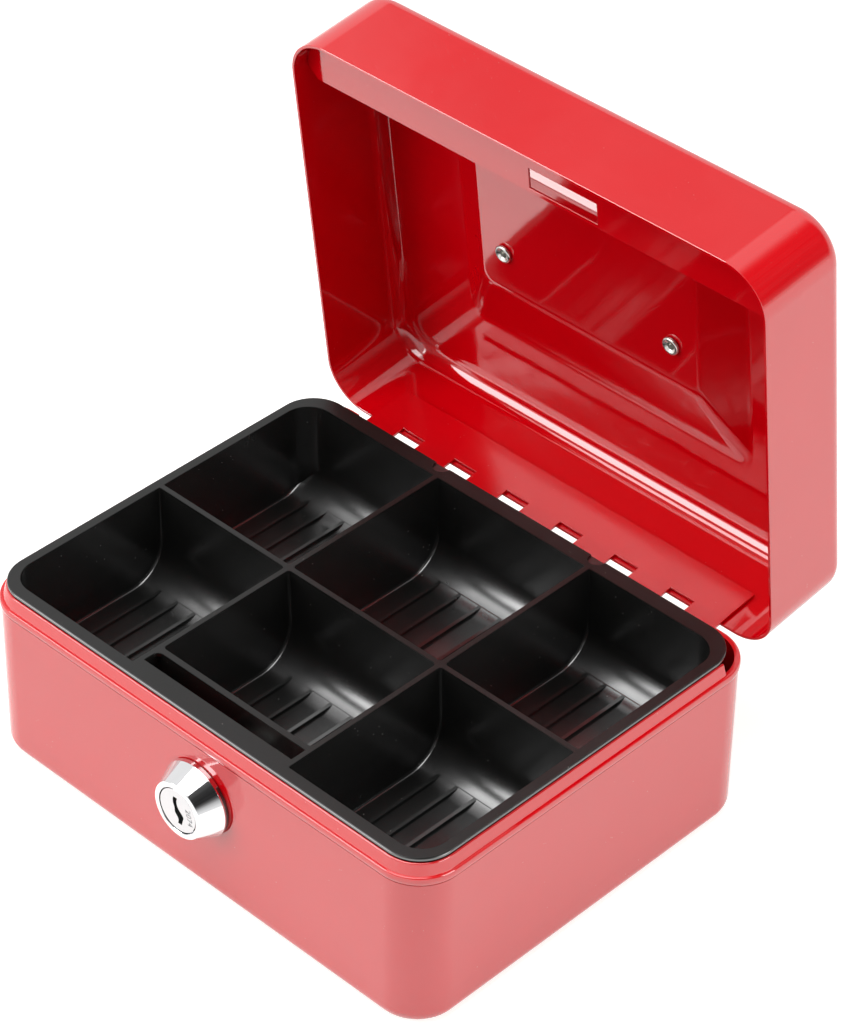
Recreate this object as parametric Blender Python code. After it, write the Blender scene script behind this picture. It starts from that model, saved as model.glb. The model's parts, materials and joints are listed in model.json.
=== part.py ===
"""Small steel cash box, lid open: pressed base and lid, piano hinge, lift-out coin tray, cam lock, folding handle.

Frame: metres, +Z up, +X along the long side, -Y towards the lock, origin in the middle of the base's flat bottom.
The lid, the lock core and the handle are drawn as in the closed, locked box and then turned to their rest pose.
"""
import math

import bmesh
import bpy
from mathutils import Matrix, Vector

MM = 0.001

# Case: outline shared by the lid and by the bead round the base
CASE_WIDTH = 152.0 * MM
CASE_DEPTH = 118.6 * MM
CORNER_RADIUS = 12.2 * MM
SHEET = 0.8 * MM
GAP = 0.3 * MM  # between faces that touch on the real box

# Base
SHOULDER_HEIGHT = 47.6 * MM  # where the closed lid's rim rests
BASE_EDGE_RADIUS = 4.0 * MM
BEAD_PROUD = 0.4 * MM
BEAD_HEIGHT = 2.3 * MM
LIP_HEIGHT = 3.0 * MM
LIP_PLAY = 1.0 * MM  # between the lip and the inside of the closed lid

# Lid
LID_HEIGHT = 27.7 * MM
LID_EDGE_RADIUS = 3.4 * MM
LID_OPEN_DEG = 82.7
RECESS_DEPTH = 5.9 * MM
RECESS_FOOT = (94.0 * MM, 71.0 * MM)  # size at the top plate
RECESS_FOOT_Y = -3.2 * MM
RECESS_FOOT_RADIUS = 5.0 * MM
RECESS_FLOOR = (69.6 * MM, 39.0 * MM)  # size of the flat floor
RECESS_FLOOR_Y = -9.2 * MM
RECESS_FLOOR_RADIUS = 3.0 * MM

# Hinge
LEAF_SHEET = 0.7 * MM
LEAF_LENGTH = 120.0 * MM
LID_LEAF_HEIGHT = 12.2 * MM  # above the lid's rim
BASE_LEAF_DROP = 12.0 * MM  # below the hinge axis
PIN_RADIUS = 1.0 * MM
PIN_HEAD_RADIUS = 1.5 * MM
PIN_PLAY = 0.2 * MM
HINGE_BELOW_RIM = 4.1 * MM
KNUCKLE_GAPS = 6
KNUCKLE_PITCH = 18.55 * MM
KNUCKLE_WINDOW = 7.8 * MM
KNUCKLE_SIDE_PLAY = 0.4 * MM
WINDOW_ABOVE_RIM = 1.0 * MM
ROLL_TURN_DEG = 300.0

# Lock
LOCK_X = 2.5 * MM
LOCK_BELOW_SHOULDER = 17.8 * MM
COLLAR_RADIUS = 10.5 * MM
COLLAR_FACE_RADIUS = 7.95 * MM
COLLAR_LENGTH = 6.2 * MM
COLLAR_RIM = 0.6 * MM
RING_RADIUS = 10.8 * MM
RING_THICKNESS = 0.5 * MM
BARREL_RADIUS = 8.0 * MM
BARREL_FLAT = 6.9 * MM
BARREL_LENGTH = 8.4 * MM  # behind the collar
PLUG_HEAD_RADIUS = 6.1 * MM
PLUG_HEAD_LENGTH = 3.6 * MM
PLUG_RADIUS = 5.4 * MM
PLUG_RECESS = 0.2 * MM
KEYWAY_HEIGHT = 7.6 * MM
KEYWAY_WIDTH = 1.7 * MM
KEYWAY_STEP = 0.9 * MM
WAFERS = 4
WAFER_PITCH = 1.9 * MM
WAFER_SIZE = (5.0 * MM, 0.8 * MM, 9.8 * MM)
WAFER_WINDOW = (2.9 * MM, 8.0 * MM)
WAFER_SIDE_PLAY = 0.25 * MM
WAFER_TRAVEL = 0.4 * MM
NUT_FLATS = 20.0 * MM
NUT_THICKNESS = 3.0 * MM
CAM_THICKNESS = 1.4 * MM
CAM_TIP = 2.0 * MM  # the hook's end beyond the rail
CAM_ARM = 5.2 * MM
CAM_HUB_RADIUS = 6.5 * MM
CAM_BARB = 4.9 * MM
BOSS = (6.0 * MM, 4.8 * MM)
SCREW_RADIUS = 1.6 * MM
SCREW_HEAD_RADIUS = 3.6 * MM
SCREW_HEAD = 1.3 * MM
SCREW_LENGTH = 3.2 * MM

# Rail inside the lid that the cam hooks over
RAIL_SHEET = 0.6 * MM
RAIL_WIDTH = 14.4 * MM
RAIL_CHAMFER = 3.0 * MM
RAIL_OVER_TRAY = 0.4 * MM
RAIL_WINDOW = (21.6 * MM, 6.0 * MM)
RAIL_WINDOW_PLAY = 0.5 * MM  # beside the cam's arm
RAIL_WINDOW_FRONT = 0.4 * MM  # in front of the cam

# Coin tray
TRAY_WALL = 1.5 * MM
TRAY_SKIN = 1.2 * MM
TRAY_RIM = 1.1 * MM
TRAY_ON_LIP = 0.5 * MM  # how far its rim reaches over the lip
TRAY_DEPTH = 27.0 * MM
TRAY_BACK_Y = 54.7 * MM
TRAY_BACK_RIM = 4.7 * MM
TRAY_BODY_PLAY = 0.6 * MM
TRAY_DRAFT_DEG = 1.2
SCOOP_RADIUS = 12.0 * MM
DIVIDER = 1.3 * MM
DIVIDER_XS = (-24.9 * MM, 27.0 * MM)
DIVIDER_Y = -2.6 * MM
LOCK_BAY_PLAY = 0.4 * MM
SLOT_LENGTH = 50.0 * MM
SLOT_WIDTH = 4.8 * MM
SLOT_FRONT = 1.3 * MM  # in front of the cam
FLOOR_RIBS = 6
FLOOR_RIB = (0.9 * MM, 0.5 * MM)

# Handle
HANDLE_ROD = 1.8 * MM
HANDLE_WIDTH = 66.0 * MM  # between the legs' middles
HANDLE_REACH = 27.0 * MM
HANDLE_BEND = 5.0 * MM
HANDLE_END_BEND = 2.3 * MM
HANDLE_PIVOT_Y = 4.3 * MM
BRACKET_SHEET = 0.7 * MM
BRACKET_WIDTH = 5.0 * MM
BRACKET_PLAY = 0.2 * MM
RIVET_SPACING = 55.6 * MM
RIVET_Y = -0.5 * MM
RIVET_RADIUS = 1.7 * MM
RIVET_HEAD_RADIUS = 2.6 * MM
RIVET_HEAD = 0.9 * MM
RIVET_BORE = 1.1 * MM

# Places that follow from the sizes above
FRONT_Y = -CASE_DEPTH / 2 + BEAD_PROUD  # outside of the base's front wall
LOCK_HEIGHT = SHOULDER_HEIGHT - LOCK_BELOW_SHOULDER
LID_RIM_Z = SHOULDER_HEIGHT + GAP
LID_TOP_Z = LID_RIM_Z + LID_HEIGHT
LIP_INSET = SHEET + LIP_PLAY
LIP_TOP_Z = SHOULDER_HEIGHT + LIP_HEIGHT
RECESS_Z = LID_TOP_Z - RECESS_DEPTH
ROLL_INNER = PIN_RADIUS + PIN_PLAY
ROLL_OUTER = ROLL_INNER + LEAF_SHEET
LEAF_Y = CASE_DEPTH / 2 - SHEET - GAP - LEAF_SHEET  # inner face of the closed lid's leaf
HINGE_Y = LEAF_Y + ROLL_OUTER
HINGE_Z = LID_RIM_Z - HINGE_BELOW_RIM
NOTCH_Z = HINGE_Z - ROLL_OUTER - 2 * GAP
TRAY_BOTTOM_RIM_Z = LIP_TOP_Z + GAP
TRAY_TOP_Z = TRAY_BOTTOM_RIM_Z + TRAY_RIM
TRAY_FLOOR_Z = TRAY_TOP_Z - TRAY_DEPTH
TRAY_INSET = LIP_INSET + SHEET - TRAY_ON_LIP
RAIL_Z = TRAY_TOP_Z + RAIL_OVER_TRAY
CAM_HOOK = RAIL_Z + RAIL_SHEET + RAIL_OVER_TRAY - LOCK_HEIGHT  # from the lock's axis to the hook's inner edge
CAM_REACH = CAM_HOOK + CAM_TIP
RING_Y = FRONT_Y - GAP
COLLAR_Y = RING_Y - RING_THICKNESS - GAP  # back of the collar
COLLAR_FRONT_Y = COLLAR_Y - COLLAR_LENGTH
BARREL_END_Y = COLLAR_Y + BARREL_LENGTH
CAM_Y = BARREL_END_Y + 3 * GAP  # front of the cam
PLUG_END_Y = CAM_Y - GAP
SCREW_Y = CAM_Y + CAM_THICKNESS + GAP  # under the screw's head
SLOT_Y = CAM_Y - SLOT_FRONT
BAY_BACK_Y = SLOT_Y + SLOT_WIDTH
HANDLE_PIVOT_Z = RECESS_Z + GAP + BRACKET_SHEET + BRACKET_PLAY + HANDLE_ROD

PAINT = ("red_enamel", (0.62, 0.012, 0.018), 0.25, 0.0)
STEEL = ("zinc_plated_steel", (0.55, 0.55, 0.53), 0.35, 1.0)
CHROME = ("chrome", (0.8, 0.8, 0.82), 0.1, 1.0)
BRASS = ("brass", (0.72, 0.5, 0.2), 0.3, 1.0)
PLASTIC = ("black_plastic", (0.02, 0.02, 0.021), 0.4, 0.0)


class Frame:
    """A place that pieces hang from: an empty on the joint's axis, at `origin` in the closed box."""

    def __init__(self, name, origin, parent=None):
        self.origin = Vector(origin)
        self.empty = bpy.data.objects.new(name, None)
        self.empty.empty_display_size = 0.01
        bpy.context.collection.objects.link(self.empty)
        self.empty.location = self.origin - (parent.origin if parent else Vector())
        self.empty.parent = parent.empty if parent else None


def material(look):
    """The plain finish of one kind of piece."""
    name, colour, roughness, metallic = look
    found = bpy.data.materials.get(name)
    if found:
        return found
    made = bpy.data.materials.new(name)
    made.use_nodes = True
    shader = made.node_tree.nodes["Principled BSDF"]
    shader.inputs["Base Color"].default_value = (*colour, 1.0)
    shader.inputs["Roughness"].default_value = roughness
    shader.inputs["Metallic"].default_value = metallic
    return made


def piece(name, bm, look, frame=None, cutter=False):
    """Turn `bm`, drawn in the closed box, into an object; a cutter shapes others and isn't a piece itself."""
    if frame:
        bmesh.ops.translate(bm, verts=bm.verts, vec=-frame.origin)
    bmesh.ops.recalc_face_normals(bm, faces=bm.faces)
    mesh = bpy.data.meshes.new(name)
    bm.to_mesh(mesh)
    bm.free()
    mesh.materials.append(material(look))
    mesh.shade_smooth()
    mesh.set_sharp_from_angle(angle=math.radians(32))
    made = bpy.data.objects.new(name, mesh)
    bpy.context.collection.objects.link(made)
    made.parent = frame.empty if frame else None
    if cutter:
        made.hide_render = True
        made.display_type = "WIRE"
    return made


def boolean(target, tool, operation="DIFFERENCE"):
    """Cut, join or keep what `target` shares with `tool`."""
    step = target.modifiers.new(tool.name, "BOOLEAN")
    step.operation = operation
    step.solver = "EXACT"
    step.object = tool


def arc(centre, radius, start_deg, end_deg, steps):
    """Points on a circle's arc in a plane, ends included."""
    turn = [math.radians(start_deg + (end_deg - start_deg) * k / steps) for k in range(steps + 1)]
    return [(centre[0] + radius * math.cos(a), centre[1] + radius * math.sin(a)) for a in turn]


def rounded_outline(width, depth, radius, centre_y=0.0, steps=8):
    """A rectangle with round corners, from the +X +Y corner round to the +X -Y one."""
    points = []
    for sx, sy, start in ((1, 1, 0), (-1, 1, 90), (-1, -1, 180), (1, -1, 270)):
        middle = (sx * (width / 2 - radius), centre_y + sy * (depth / 2 - radius))
        points += arc(middle, radius, start, start + 90, steps)
    return points


def case_outline(inset):
    """The case's outline moved inwards by `inset`."""
    return rounded_outline(CASE_WIDTH - 2 * inset, CASE_DEPTH - 2 * inset, CORNER_RADIUS - inset)


def loft(loops):
    """A closed body through loops of equally many points, with a face over the first and the last."""
    bm = bmesh.new()
    rings = [[bm.verts.new(point) for point in loop] for loop in loops]
    for low, high in zip(rings, rings[1:]):
        for k in range(len(low)):
            after = (k + 1) % len(low)
            bm.faces.new((low[k], low[after], high[after], high[k]))
    bm.faces.new(rings[0])
    bm.faces.new(rings[-1])
    return bm


def pressed(profile, outline):
    """A pressing: each profile entry (inset, z) is the outline moved inwards, at that height."""
    return loft([[(x, y, z) for x, y in outline(inset)] for inset, z in profile])


def prism(points, axis, start, end):
    """Points in a plane pushed out along `axis` from `start` to `end`."""
    def at(point, level):
        u, v = point
        return {"X": (level, u, v), "Y": (u, level, v), "Z": (u, v, level)}[axis]

    return loft([[at(p, start) for p in points], [at(p, end) for p in points]])


def box(low, high):
    """A block between two corners."""
    (x0, y0, z0), (x1, y1, z1) = low, high
    return prism([(x0, y0), (x1, y0), (x1, y1), (x0, y1)], "Z", z0, z1)


def turned(profile, steps):
    """A body turned about Z from (radius, z) points; radius 0 closes it on the axis."""
    bm = bmesh.new()
    rings = []
    for radius, z in profile:
        count = 1 if radius == 0 else steps
        ring = [bm.verts.new((radius * math.cos(a), radius * math.sin(a), z))
                for a in (2 * math.pi * k / steps for k in range(count))]
        rings.append(ring * steps if count == 1 else ring)
    closed = profile[0][0] > 0
    for low, high in zip(rings, rings[1:] + rings[:1] if closed else rings[1:]):
        for k in range(steps):
            after = (k + 1) % steps
            corners = []
            for corner in (low[k], low[after], high[after], high[k]):
                if corner not in corners:
                    corners.append(corner)
            bm.faces.new(corners)
    return bm


def along_y(bm, x, z):
    """Lay a body turned about Z down, so that its +Z points to +Y, with its axis at (x, z)."""
    bmesh.ops.rotate(bm, verts=bm.verts, matrix=Matrix.Rotation(-math.pi / 2, 3, "X"))
    bmesh.ops.translate(bm, verts=bm.verts, vec=(x, 0, z))
    return bm


def rolled_strip(flat, sheet, inner, turn_deg, steps=15):
    """Outline of a strip whose end is rolled round the origin: it comes up along -U and rolls over +V first."""
    outer = inner + sheet
    end = 180 - turn_deg
    return ([(-outer, -flat)] + arc((0, 0), outer, 180, end, steps)
            + arc((0, 0), inner, end, 180, steps) + [(-inner, -flat)])


def base_shell():
    """Pressed base: bead and shoulder for the lid, lip for the tray, notch for the hinge, hole for the lock."""
    wall, radius = BEAD_PROUD, BASE_EDGE_RADIUS
    edge = arc((wall + radius, radius), radius, 270, 180, 4)
    bead_z = SHOULDER_HEIGHT - BEAD_HEIGHT / 2
    bead = [(wall * (1 - math.cos(a)), bead_z + BEAD_HEIGHT / 2 * math.sin(a))
            for a in (math.radians(30 * k) for k in range(-3, 4))]
    lip = arc((LIP_INSET + SHEET / 2, LIP_TOP_Z - SHEET / 2), SHEET / 2, 180, 0, 4)
    under = SHOULDER_HEIGHT - SHEET
    inside = [(LIP_INSET + SHEET, under), (wall + SHEET, under - SHEET / 2)]
    inner_edge = arc((wall + radius, radius), radius - SHEET, 180, 270, 4)
    profile = edge + bead + [(LIP_INSET, SHOULDER_HEIGHT)] + lip + inside + inner_edge
    shell = piece("base_shell", pressed(profile, case_outline), PAINT)

    lip_end = CASE_DEPTH / 2 - CORNER_RADIUS
    over = box((-CASE_WIDTH, lip_end, SHOULDER_HEIGHT), (CASE_WIDTH, CASE_DEPTH, 2 * LIP_TOP_Z))
    boolean(shell, piece("lip_end_cutter", over, PAINT, cutter=True))
    half = LEAF_LENGTH / 2 + PIN_HEAD_RADIUS
    notch = box((-half, HINGE_Y - 2 * ROLL_OUTER, NOTCH_Z), (half, CASE_DEPTH, LIP_TOP_Z))
    boolean(shell, piece("hinge_notch_cutter", notch, PAINT, cutter=True))
    hole = barrel_outline(GAP)
    hole = prism([(LOCK_X + x, LOCK_HEIGHT + z) for x, z in hole], "Y", FRONT_Y - SHEET, FRONT_Y + 2 * SHEET)
    boolean(shell, piece("lock_hole_cutter", hole, PAINT, cutter=True))


def recess_loops(drop):
    """Loops down the walls of the handle's recess, `drop` below its outer skin, round at the top and foot."""
    foot = rounded_outline(*RECESS_FOOT, RECESS_FOOT_RADIUS, RECESS_FOOT_Y)
    floor = rounded_outline(*RECESS_FLOOR, RECESS_FLOOR_RADIUS, RECESS_FLOOR_Y)
    blend = 0.12
    loops = []
    for share in (0.0, 0.5 * blend, blend, 1.5 * blend, 1 - 1.5 * blend, 1 - blend, 1 - 0.5 * blend, 1.0):
        rise = share if share < 0.5 else 1 - share
        slope = 1 / (1 - blend)
        fall = slope * (rise * rise / (2 * blend) if rise < blend else rise - blend / 2)
        fall = fall if share < 0.5 else 1 - fall
        z = LID_TOP_Z - drop - RECESS_DEPTH * fall
        loops.append([(a[0] + (b[0] - a[0]) * share, a[1] + (b[1] - a[1]) * share, z)
                      for a, b in zip(foot, floor)])
    return loops


def lid_shell(frame):
    """Pressed lid: round edges and a recess in the top for the handle, with sloped walls and two rivet holes."""
    radius, chamfer = LID_EDGE_RADIUS, SHEET / 4
    outside = [(0, LID_RIM_Z + chamfer)] + arc((radius, LID_TOP_Z - radius), radius, 180, 90, 5)
    inside = arc((radius, LID_TOP_Z - radius), radius - SHEET, 180, 90, 5)
    inside = [(chamfer, LID_RIM_Z), (SHEET - chamfer, LID_RIM_Z), (SHEET, LID_RIM_Z + chamfer)] + inside
    def ring(profile):
        return [[(x, y, z) for x, y in case_outline(inset)] for inset, z in profile]

    outer = list(reversed(recess_loops(0.0))) + list(reversed(ring(outside)))
    inner = ring(inside) + recess_loops(SHEET)
    shell = piece("lid_shell", loft(outer + inner), PAINT, frame)
    for side in (-1, 1):
        hole = turned([(0, RECESS_Z - 2 * SHEET), (RIVET_RADIUS + GAP, RECESS_Z - 2 * SHEET),
                       (RIVET_RADIUS + GAP, RECESS_Z + SHEET), (0, RECESS_Z + SHEET)], 16)
        bmesh.ops.translate(hole, verts=hole.verts, vec=(side * RIVET_SPACING / 2, RIVET_Y, 0))
        boolean(shell, piece(f"rivet_hole_cutter_{side}", hole, PAINT, frame, cutter=True))


def window_places():
    """Middles of the gaps between the lid's knuckles, where the base's knuckles sit."""
    return [(k - (KNUCKLE_GAPS - 1) / 2) * KNUCKLE_PITCH for k in range(KNUCKLE_GAPS)]


def lid_hinge_leaf(frame):
    """Strip along the inside of the lid's back wall, rolled under the pin, with windows for the other knuckles."""
    strip = rolled_strip(LID_LEAF_HEIGHT + HINGE_BELOW_RIM, LEAF_SHEET, ROLL_INNER, ROLL_TURN_DEG)
    points = [(HINGE_Y + u, HINGE_Z - v) for u, v in strip]
    leaf = piece("lid_hinge_leaf", prism(points, "X", -LEAF_LENGTH / 2, LEAF_LENGTH / 2), PAINT, frame)
    for k, x in enumerate(window_places()):
        low = (x - KNUCKLE_WINDOW / 2, HINGE_Y - 2 * ROLL_OUTER, HINGE_Z - 2 * ROLL_OUTER)
        high = (x + KNUCKLE_WINDOW / 2, HINGE_Y + 2 * ROLL_OUTER, LID_RIM_Z + WINDOW_ABOVE_RIM)
        boolean(leaf, piece(f"leaf_window_cutter_{k}", box(low, high), PAINT, frame, cutter=True))


def base_hinge_leaf():
    """Strip inside the base's back wall, set out by a joggle to the knuckles that hold the pin."""
    plate = CASE_DEPTH / 2 - BEAD_PROUD - SHEET - GAP - LEAF_SHEET
    step = LEAF_Y - plate
    strip = rolled_strip(HINGE_Z - NOTCH_Z - 2 * step, LEAF_SHEET, ROLL_INNER, ROLL_TURN_DEG)
    strip = ([(-ROLL_OUTER - step, -BASE_LEAF_DROP), (-ROLL_OUTER - step, NOTCH_Z - HINGE_Z)] + strip
             + [(-ROLL_INNER - step, NOTCH_Z - HINGE_Z), (-ROLL_INNER - step, -BASE_LEAF_DROP)])
    points = [(HINGE_Y + u, HINGE_Z + v) for u, v in strip]
    knuckle = KNUCKLE_WINDOW / 2 - KNUCKLE_SIDE_PLAY
    edge = LEAF_LENGTH / 2 - KNUCKLE_SIDE_PLAY
    leaf = piece("base_hinge_leaf", prism(points, "X", -edge, edge), PAINT)
    starts = [-LEAF_LENGTH] + [x + knuckle for x in window_places()]
    ends = [x - knuckle for x in window_places()] + [LEAF_LENGTH]
    for k, (start, end) in enumerate(zip(starts, ends)):
        low = (start, HINGE_Y - 2 * ROLL_OUTER, NOTCH_Z)
        high = (end, HINGE_Y + 2 * ROLL_OUTER, HINGE_Z + 2 * ROLL_OUTER)
        boolean(leaf, piece(f"leaf_gap_cutter_{k}", box(low, high), PAINT, cutter=True))


def hinge_pin():
    """Steel wire through all the knuckles, headed at both ends."""
    half = LEAF_LENGTH / 2 + GAP
    head = PIN_HEAD_RADIUS / 2
    profile = [(0, -half - head), (PIN_HEAD_RADIUS * 0.8, -half - head), (PIN_HEAD_RADIUS, -half - head / 2),
               (PIN_HEAD_RADIUS, -half), (PIN_RADIUS, -half)]
    profile += [(radius, -z) for radius, z in reversed(profile)]
    pin = turned(profile, 14)
    bmesh.ops.rotate(pin, verts=pin.verts, matrix=Matrix.Rotation(math.pi / 2, 3, "Y"))
    bmesh.ops.translate(pin, verts=pin.verts, vec=(0, HINGE_Y, HINGE_Z))
    piece("hinge_pin", pin, STEEL)


def rail(frame):
    """Angle strip inside the lid's front, cut with the window that the cam comes up through."""
    front = -CASE_DEPTH / 2 + SHEET + GAP
    reach = CORNER_RADIUS - SHEET - GAP
    corner = (CASE_WIDTH / 2 - CORNER_RADIUS, -CASE_DEPTH / 2 + CORNER_RADIUS)
    back = front + RAIL_WIDTH
    right = arc(corner, reach, 270, 360, 6)
    side = corner[0] + reach
    right += [(side, back - RAIL_CHAMFER), (side - RAIL_CHAMFER, back)]
    outline = right + [(-x, y) for x, y in reversed(right)]
    strip = piece("lid_lock_rail", prism(outline, "Z", RAIL_Z, RAIL_Z + RAIL_SHEET), PAINT, frame)
    leg = box((-corner[0], front, LIP_TOP_Z + GAP), (corner[0], front + RAIL_SHEET, RAIL_Z + RAIL_SHEET / 2))
    boolean(strip, piece("rail_leg_former", leg, PAINT, frame, cutter=True), "UNION")
    left = LOCK_X - CAM_ARM / 2 - RAIL_WINDOW_PLAY
    near = CAM_Y - RAIL_WINDOW_FRONT
    window = box((left, near, RAIL_Z - SHEET), (left + RAIL_WINDOW[0], near + RAIL_WINDOW[1], RAIL_Z + 2 * SHEET))
    boolean(strip, piece("rail_window_cutter", window, PAINT, frame, cutter=True))


def barrel_outline(clearance=0.0):
    """Round lock barrel with two flats, which stop it turning in its hole."""
    radius, flat = BARREL_RADIUS + clearance, BARREL_FLAT + clearance
    bow = math.degrees(math.acos(flat / radius))
    return arc((0, 0), radius, bow, 180 - bow, 12) + arc((0, 0), radius, 180 + bow, 360 - bow, 12)


def lock_housing():
    """Chromed collar with a cone and a round face edge, and the flatted barrel behind it."""
    bore, step = PLUG_RADIUS + GAP, PLUG_HEAD_RADIUS + GAP
    front, seat = COLLAR_FRONT_Y, COLLAR_FRONT_Y + PLUG_RECESS + PLUG_HEAD_LENGTH + GAP
    edge = 0.5 * MM
    face = arc((COLLAR_FACE_RADIUS - edge, front + edge), edge, 270, 340, 3)
    profile = [(bore, BARREL_END_Y), (bore, seat), (step, seat), (step, front)] + face
    profile += [(COLLAR_RADIUS - 0.1 * MM, COLLAR_Y - COLLAR_RIM), (COLLAR_RADIUS, COLLAR_Y - COLLAR_RIM / 2),
                (COLLAR_RADIUS, COLLAR_Y), (BARREL_RADIUS, COLLAR_Y), (BARREL_RADIUS, BARREL_END_Y)]
    housing = piece("lock_housing", along_y(turned(profile, 48), LOCK_X, LOCK_HEIGHT), CHROME)
    for side in (-1, 1):
        low = LOCK_X + min(side * BARREL_FLAT, side * 2 * BARREL_RADIUS)
        flat = box((low, COLLAR_Y, LOCK_HEIGHT - 2 * BARREL_RADIUS),
                   (low + 2 * BARREL_RADIUS - BARREL_FLAT, 0, LOCK_HEIGHT + 2 * BARREL_RADIUS))
        boolean(housing, piece(f"barrel_flat_cutter_{side}", flat, CHROME, cutter=True))
    # grooves that the wafers spring out into, in the barrel's bore
    half = WAFER_SIZE[0] / 2 + GAP
    deep = WAFER_SIZE[2] / 2 + WAFER_TRAVEL + GAP
    for name, wide, high in (("upright", half, deep), ("level", deep, half)):
        groove = box((LOCK_X - wide, seat - GAP, LOCK_HEIGHT - high), (LOCK_X + wide, 0, LOCK_HEIGHT + high))
        boolean(housing, piece(f"{name}_groove_cutter", groove, CHROME, cutter=True))


def lock_ring():
    """Thin ring between the collar and the painted wall."""
    hole = BARREL_RADIUS + GAP
    profile = [(hole, RING_Y - RING_THICKNESS), (RING_RADIUS, RING_Y - RING_THICKNESS), (RING_RADIUS, RING_Y),
               (hole, RING_Y)]
    piece("lock_ring", along_y(turned(profile, 40), LOCK_X, LOCK_HEIGHT), PLASTIC)


def lock_nut():
    """Hexagon nut that clamps the lock to the front wall from inside."""
    near = FRONT_Y + SHEET + GAP
    radius = NUT_FLATS / math.sqrt(3)
    points = [(LOCK_X + x, LOCK_HEIGHT + z) for x, z in arc((0, 0), radius, 0, 300, 5)]
    nut = piece("lock_nut", prism(points, "Y", near, near + NUT_THICKNESS), STEEL)
    hole = BARREL_RADIUS + GAP
    bore = turned([(0, near - SHEET), (hole, near - SHEET), (hole, near + NUT_THICKNESS + SHEET),
                   (0, near + NUT_THICKNESS + SHEET)], 32)
    boolean(nut, piece("nut_bore_cutter", along_y(bore, LOCK_X, LOCK_HEIGHT), STEEL, cutter=True))


def wafer_places():
    """Front face of each wafer, along the plug."""
    first = COLLAR_FRONT_Y + PLUG_RECESS + PLUG_HEAD_LENGTH + 3 * GAP
    return [first + k * WAFER_PITCH for k in range(WAFERS)]


def keyway_outline():
    """S-shaped key slot: an upper and a lower run, side by side."""
    high, wide, step = KEYWAY_HEIGHT / 2, KEYWAY_WIDTH / 2, KEYWAY_STEP / 2
    right = [(wide + step, -high), (wide + step, -0.15 * high), (wide - step, 0.15 * high), (wide - step, high)]
    return right + [(-x, -z) for x, z in right]


def lock_plug(frame):
    """Turning core: head, body with wafer slots and the key slot, and the boss that drives the cam."""
    front = COLLAR_FRONT_Y + PLUG_RECESS
    shoulder = front + PLUG_HEAD_LENGTH
    profile = [(0, front), (PLUG_HEAD_RADIUS, front), (PLUG_HEAD_RADIUS, shoulder), (PLUG_RADIUS, shoulder),
               (PLUG_RADIUS, PLUG_END_Y), (0, PLUG_END_Y)]
    plug = piece("lock_plug", along_y(turned(profile, 40), LOCK_X, LOCK_HEIGHT), CHROME, frame)
    wide, high = BOSS[0] / 2, BOSS[1] / 2
    boss = box((LOCK_X - wide, PLUG_END_Y - GAP, LOCK_HEIGHT - high),
               (LOCK_X + wide, SCREW_Y - 2 * GAP, LOCK_HEIGHT + high))
    boolean(plug, piece("boss_former", boss, CHROME, frame, cutter=True), "UNION")
    slots = bmesh.new()
    half = WAFER_SIZE[0] / 2 + GAP
    for y in wafer_places():
        low = (LOCK_X - half, y - WAFER_SIDE_PLAY, LOCK_HEIGHT - 2 * PLUG_RADIUS)
        high_corner = (LOCK_X + half, y + WAFER_SIZE[1] + WAFER_SIDE_PLAY, LOCK_HEIGHT + 2 * PLUG_RADIUS)
        join(slots, box(low, high_corner))
    boolean(plug, piece("wafer_slot_cutter", slots, CHROME, frame, cutter=True))
    way = [(LOCK_X + x, LOCK_HEIGHT + z) for x, z in keyway_outline()]
    way = prism(way, "Y", front - SHEET, wafer_places()[-1] + WAFER_SIZE[1] + WAFER_SIDE_PLAY + GAP)
    boolean(plug, piece("keyway_cutter", way, CHROME, frame, cutter=True))
    tapped = turned([(0, SCREW_Y - SCREW_LENGTH - GAP), (SCREW_RADIUS + GAP, SCREW_Y - SCREW_LENGTH - GAP),
                     (SCREW_RADIUS + GAP, SCREW_Y + SHEET), (0, SCREW_Y + SHEET)], 14)
    boolean(plug, piece("screw_hole_cutter", along_y(tapped, LOCK_X, LOCK_HEIGHT), CHROME, frame, cutter=True))


def join(bm, extra):
    """Add the body `extra` to `bm`."""
    mesh = bpy.data.meshes.new("extra")
    extra.to_mesh(mesh)
    extra.free()
    bm.from_mesh(mesh)
    bpy.data.meshes.remove(mesh)


def wafers(frames):
    """Brass wafers with a key window, each free to slide up and down in its slot."""
    wide, thick, high = WAFER_SIZE
    for k, (y, frame) in enumerate(zip(wafer_places(), frames)):
        body = box((LOCK_X - wide / 2, y, LOCK_HEIGHT - high / 2), (LOCK_X + wide / 2, y + thick, LOCK_HEIGHT + high / 2))
        wafer = piece(f"lock_wafer_{k + 1}", body, BRASS, frame)
        window = box((LOCK_X - WAFER_WINDOW[0] / 2, y - thick, LOCK_HEIGHT - WAFER_WINDOW[1] / 2),
                     (LOCK_X + WAFER_WINDOW[0] / 2, y + 2 * thick, LOCK_HEIGHT + WAFER_WINDOW[1] / 2))
        boolean(wafer, piece(f"wafer_window_cutter_{k + 1}", window, BRASS, frame, cutter=True))


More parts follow.
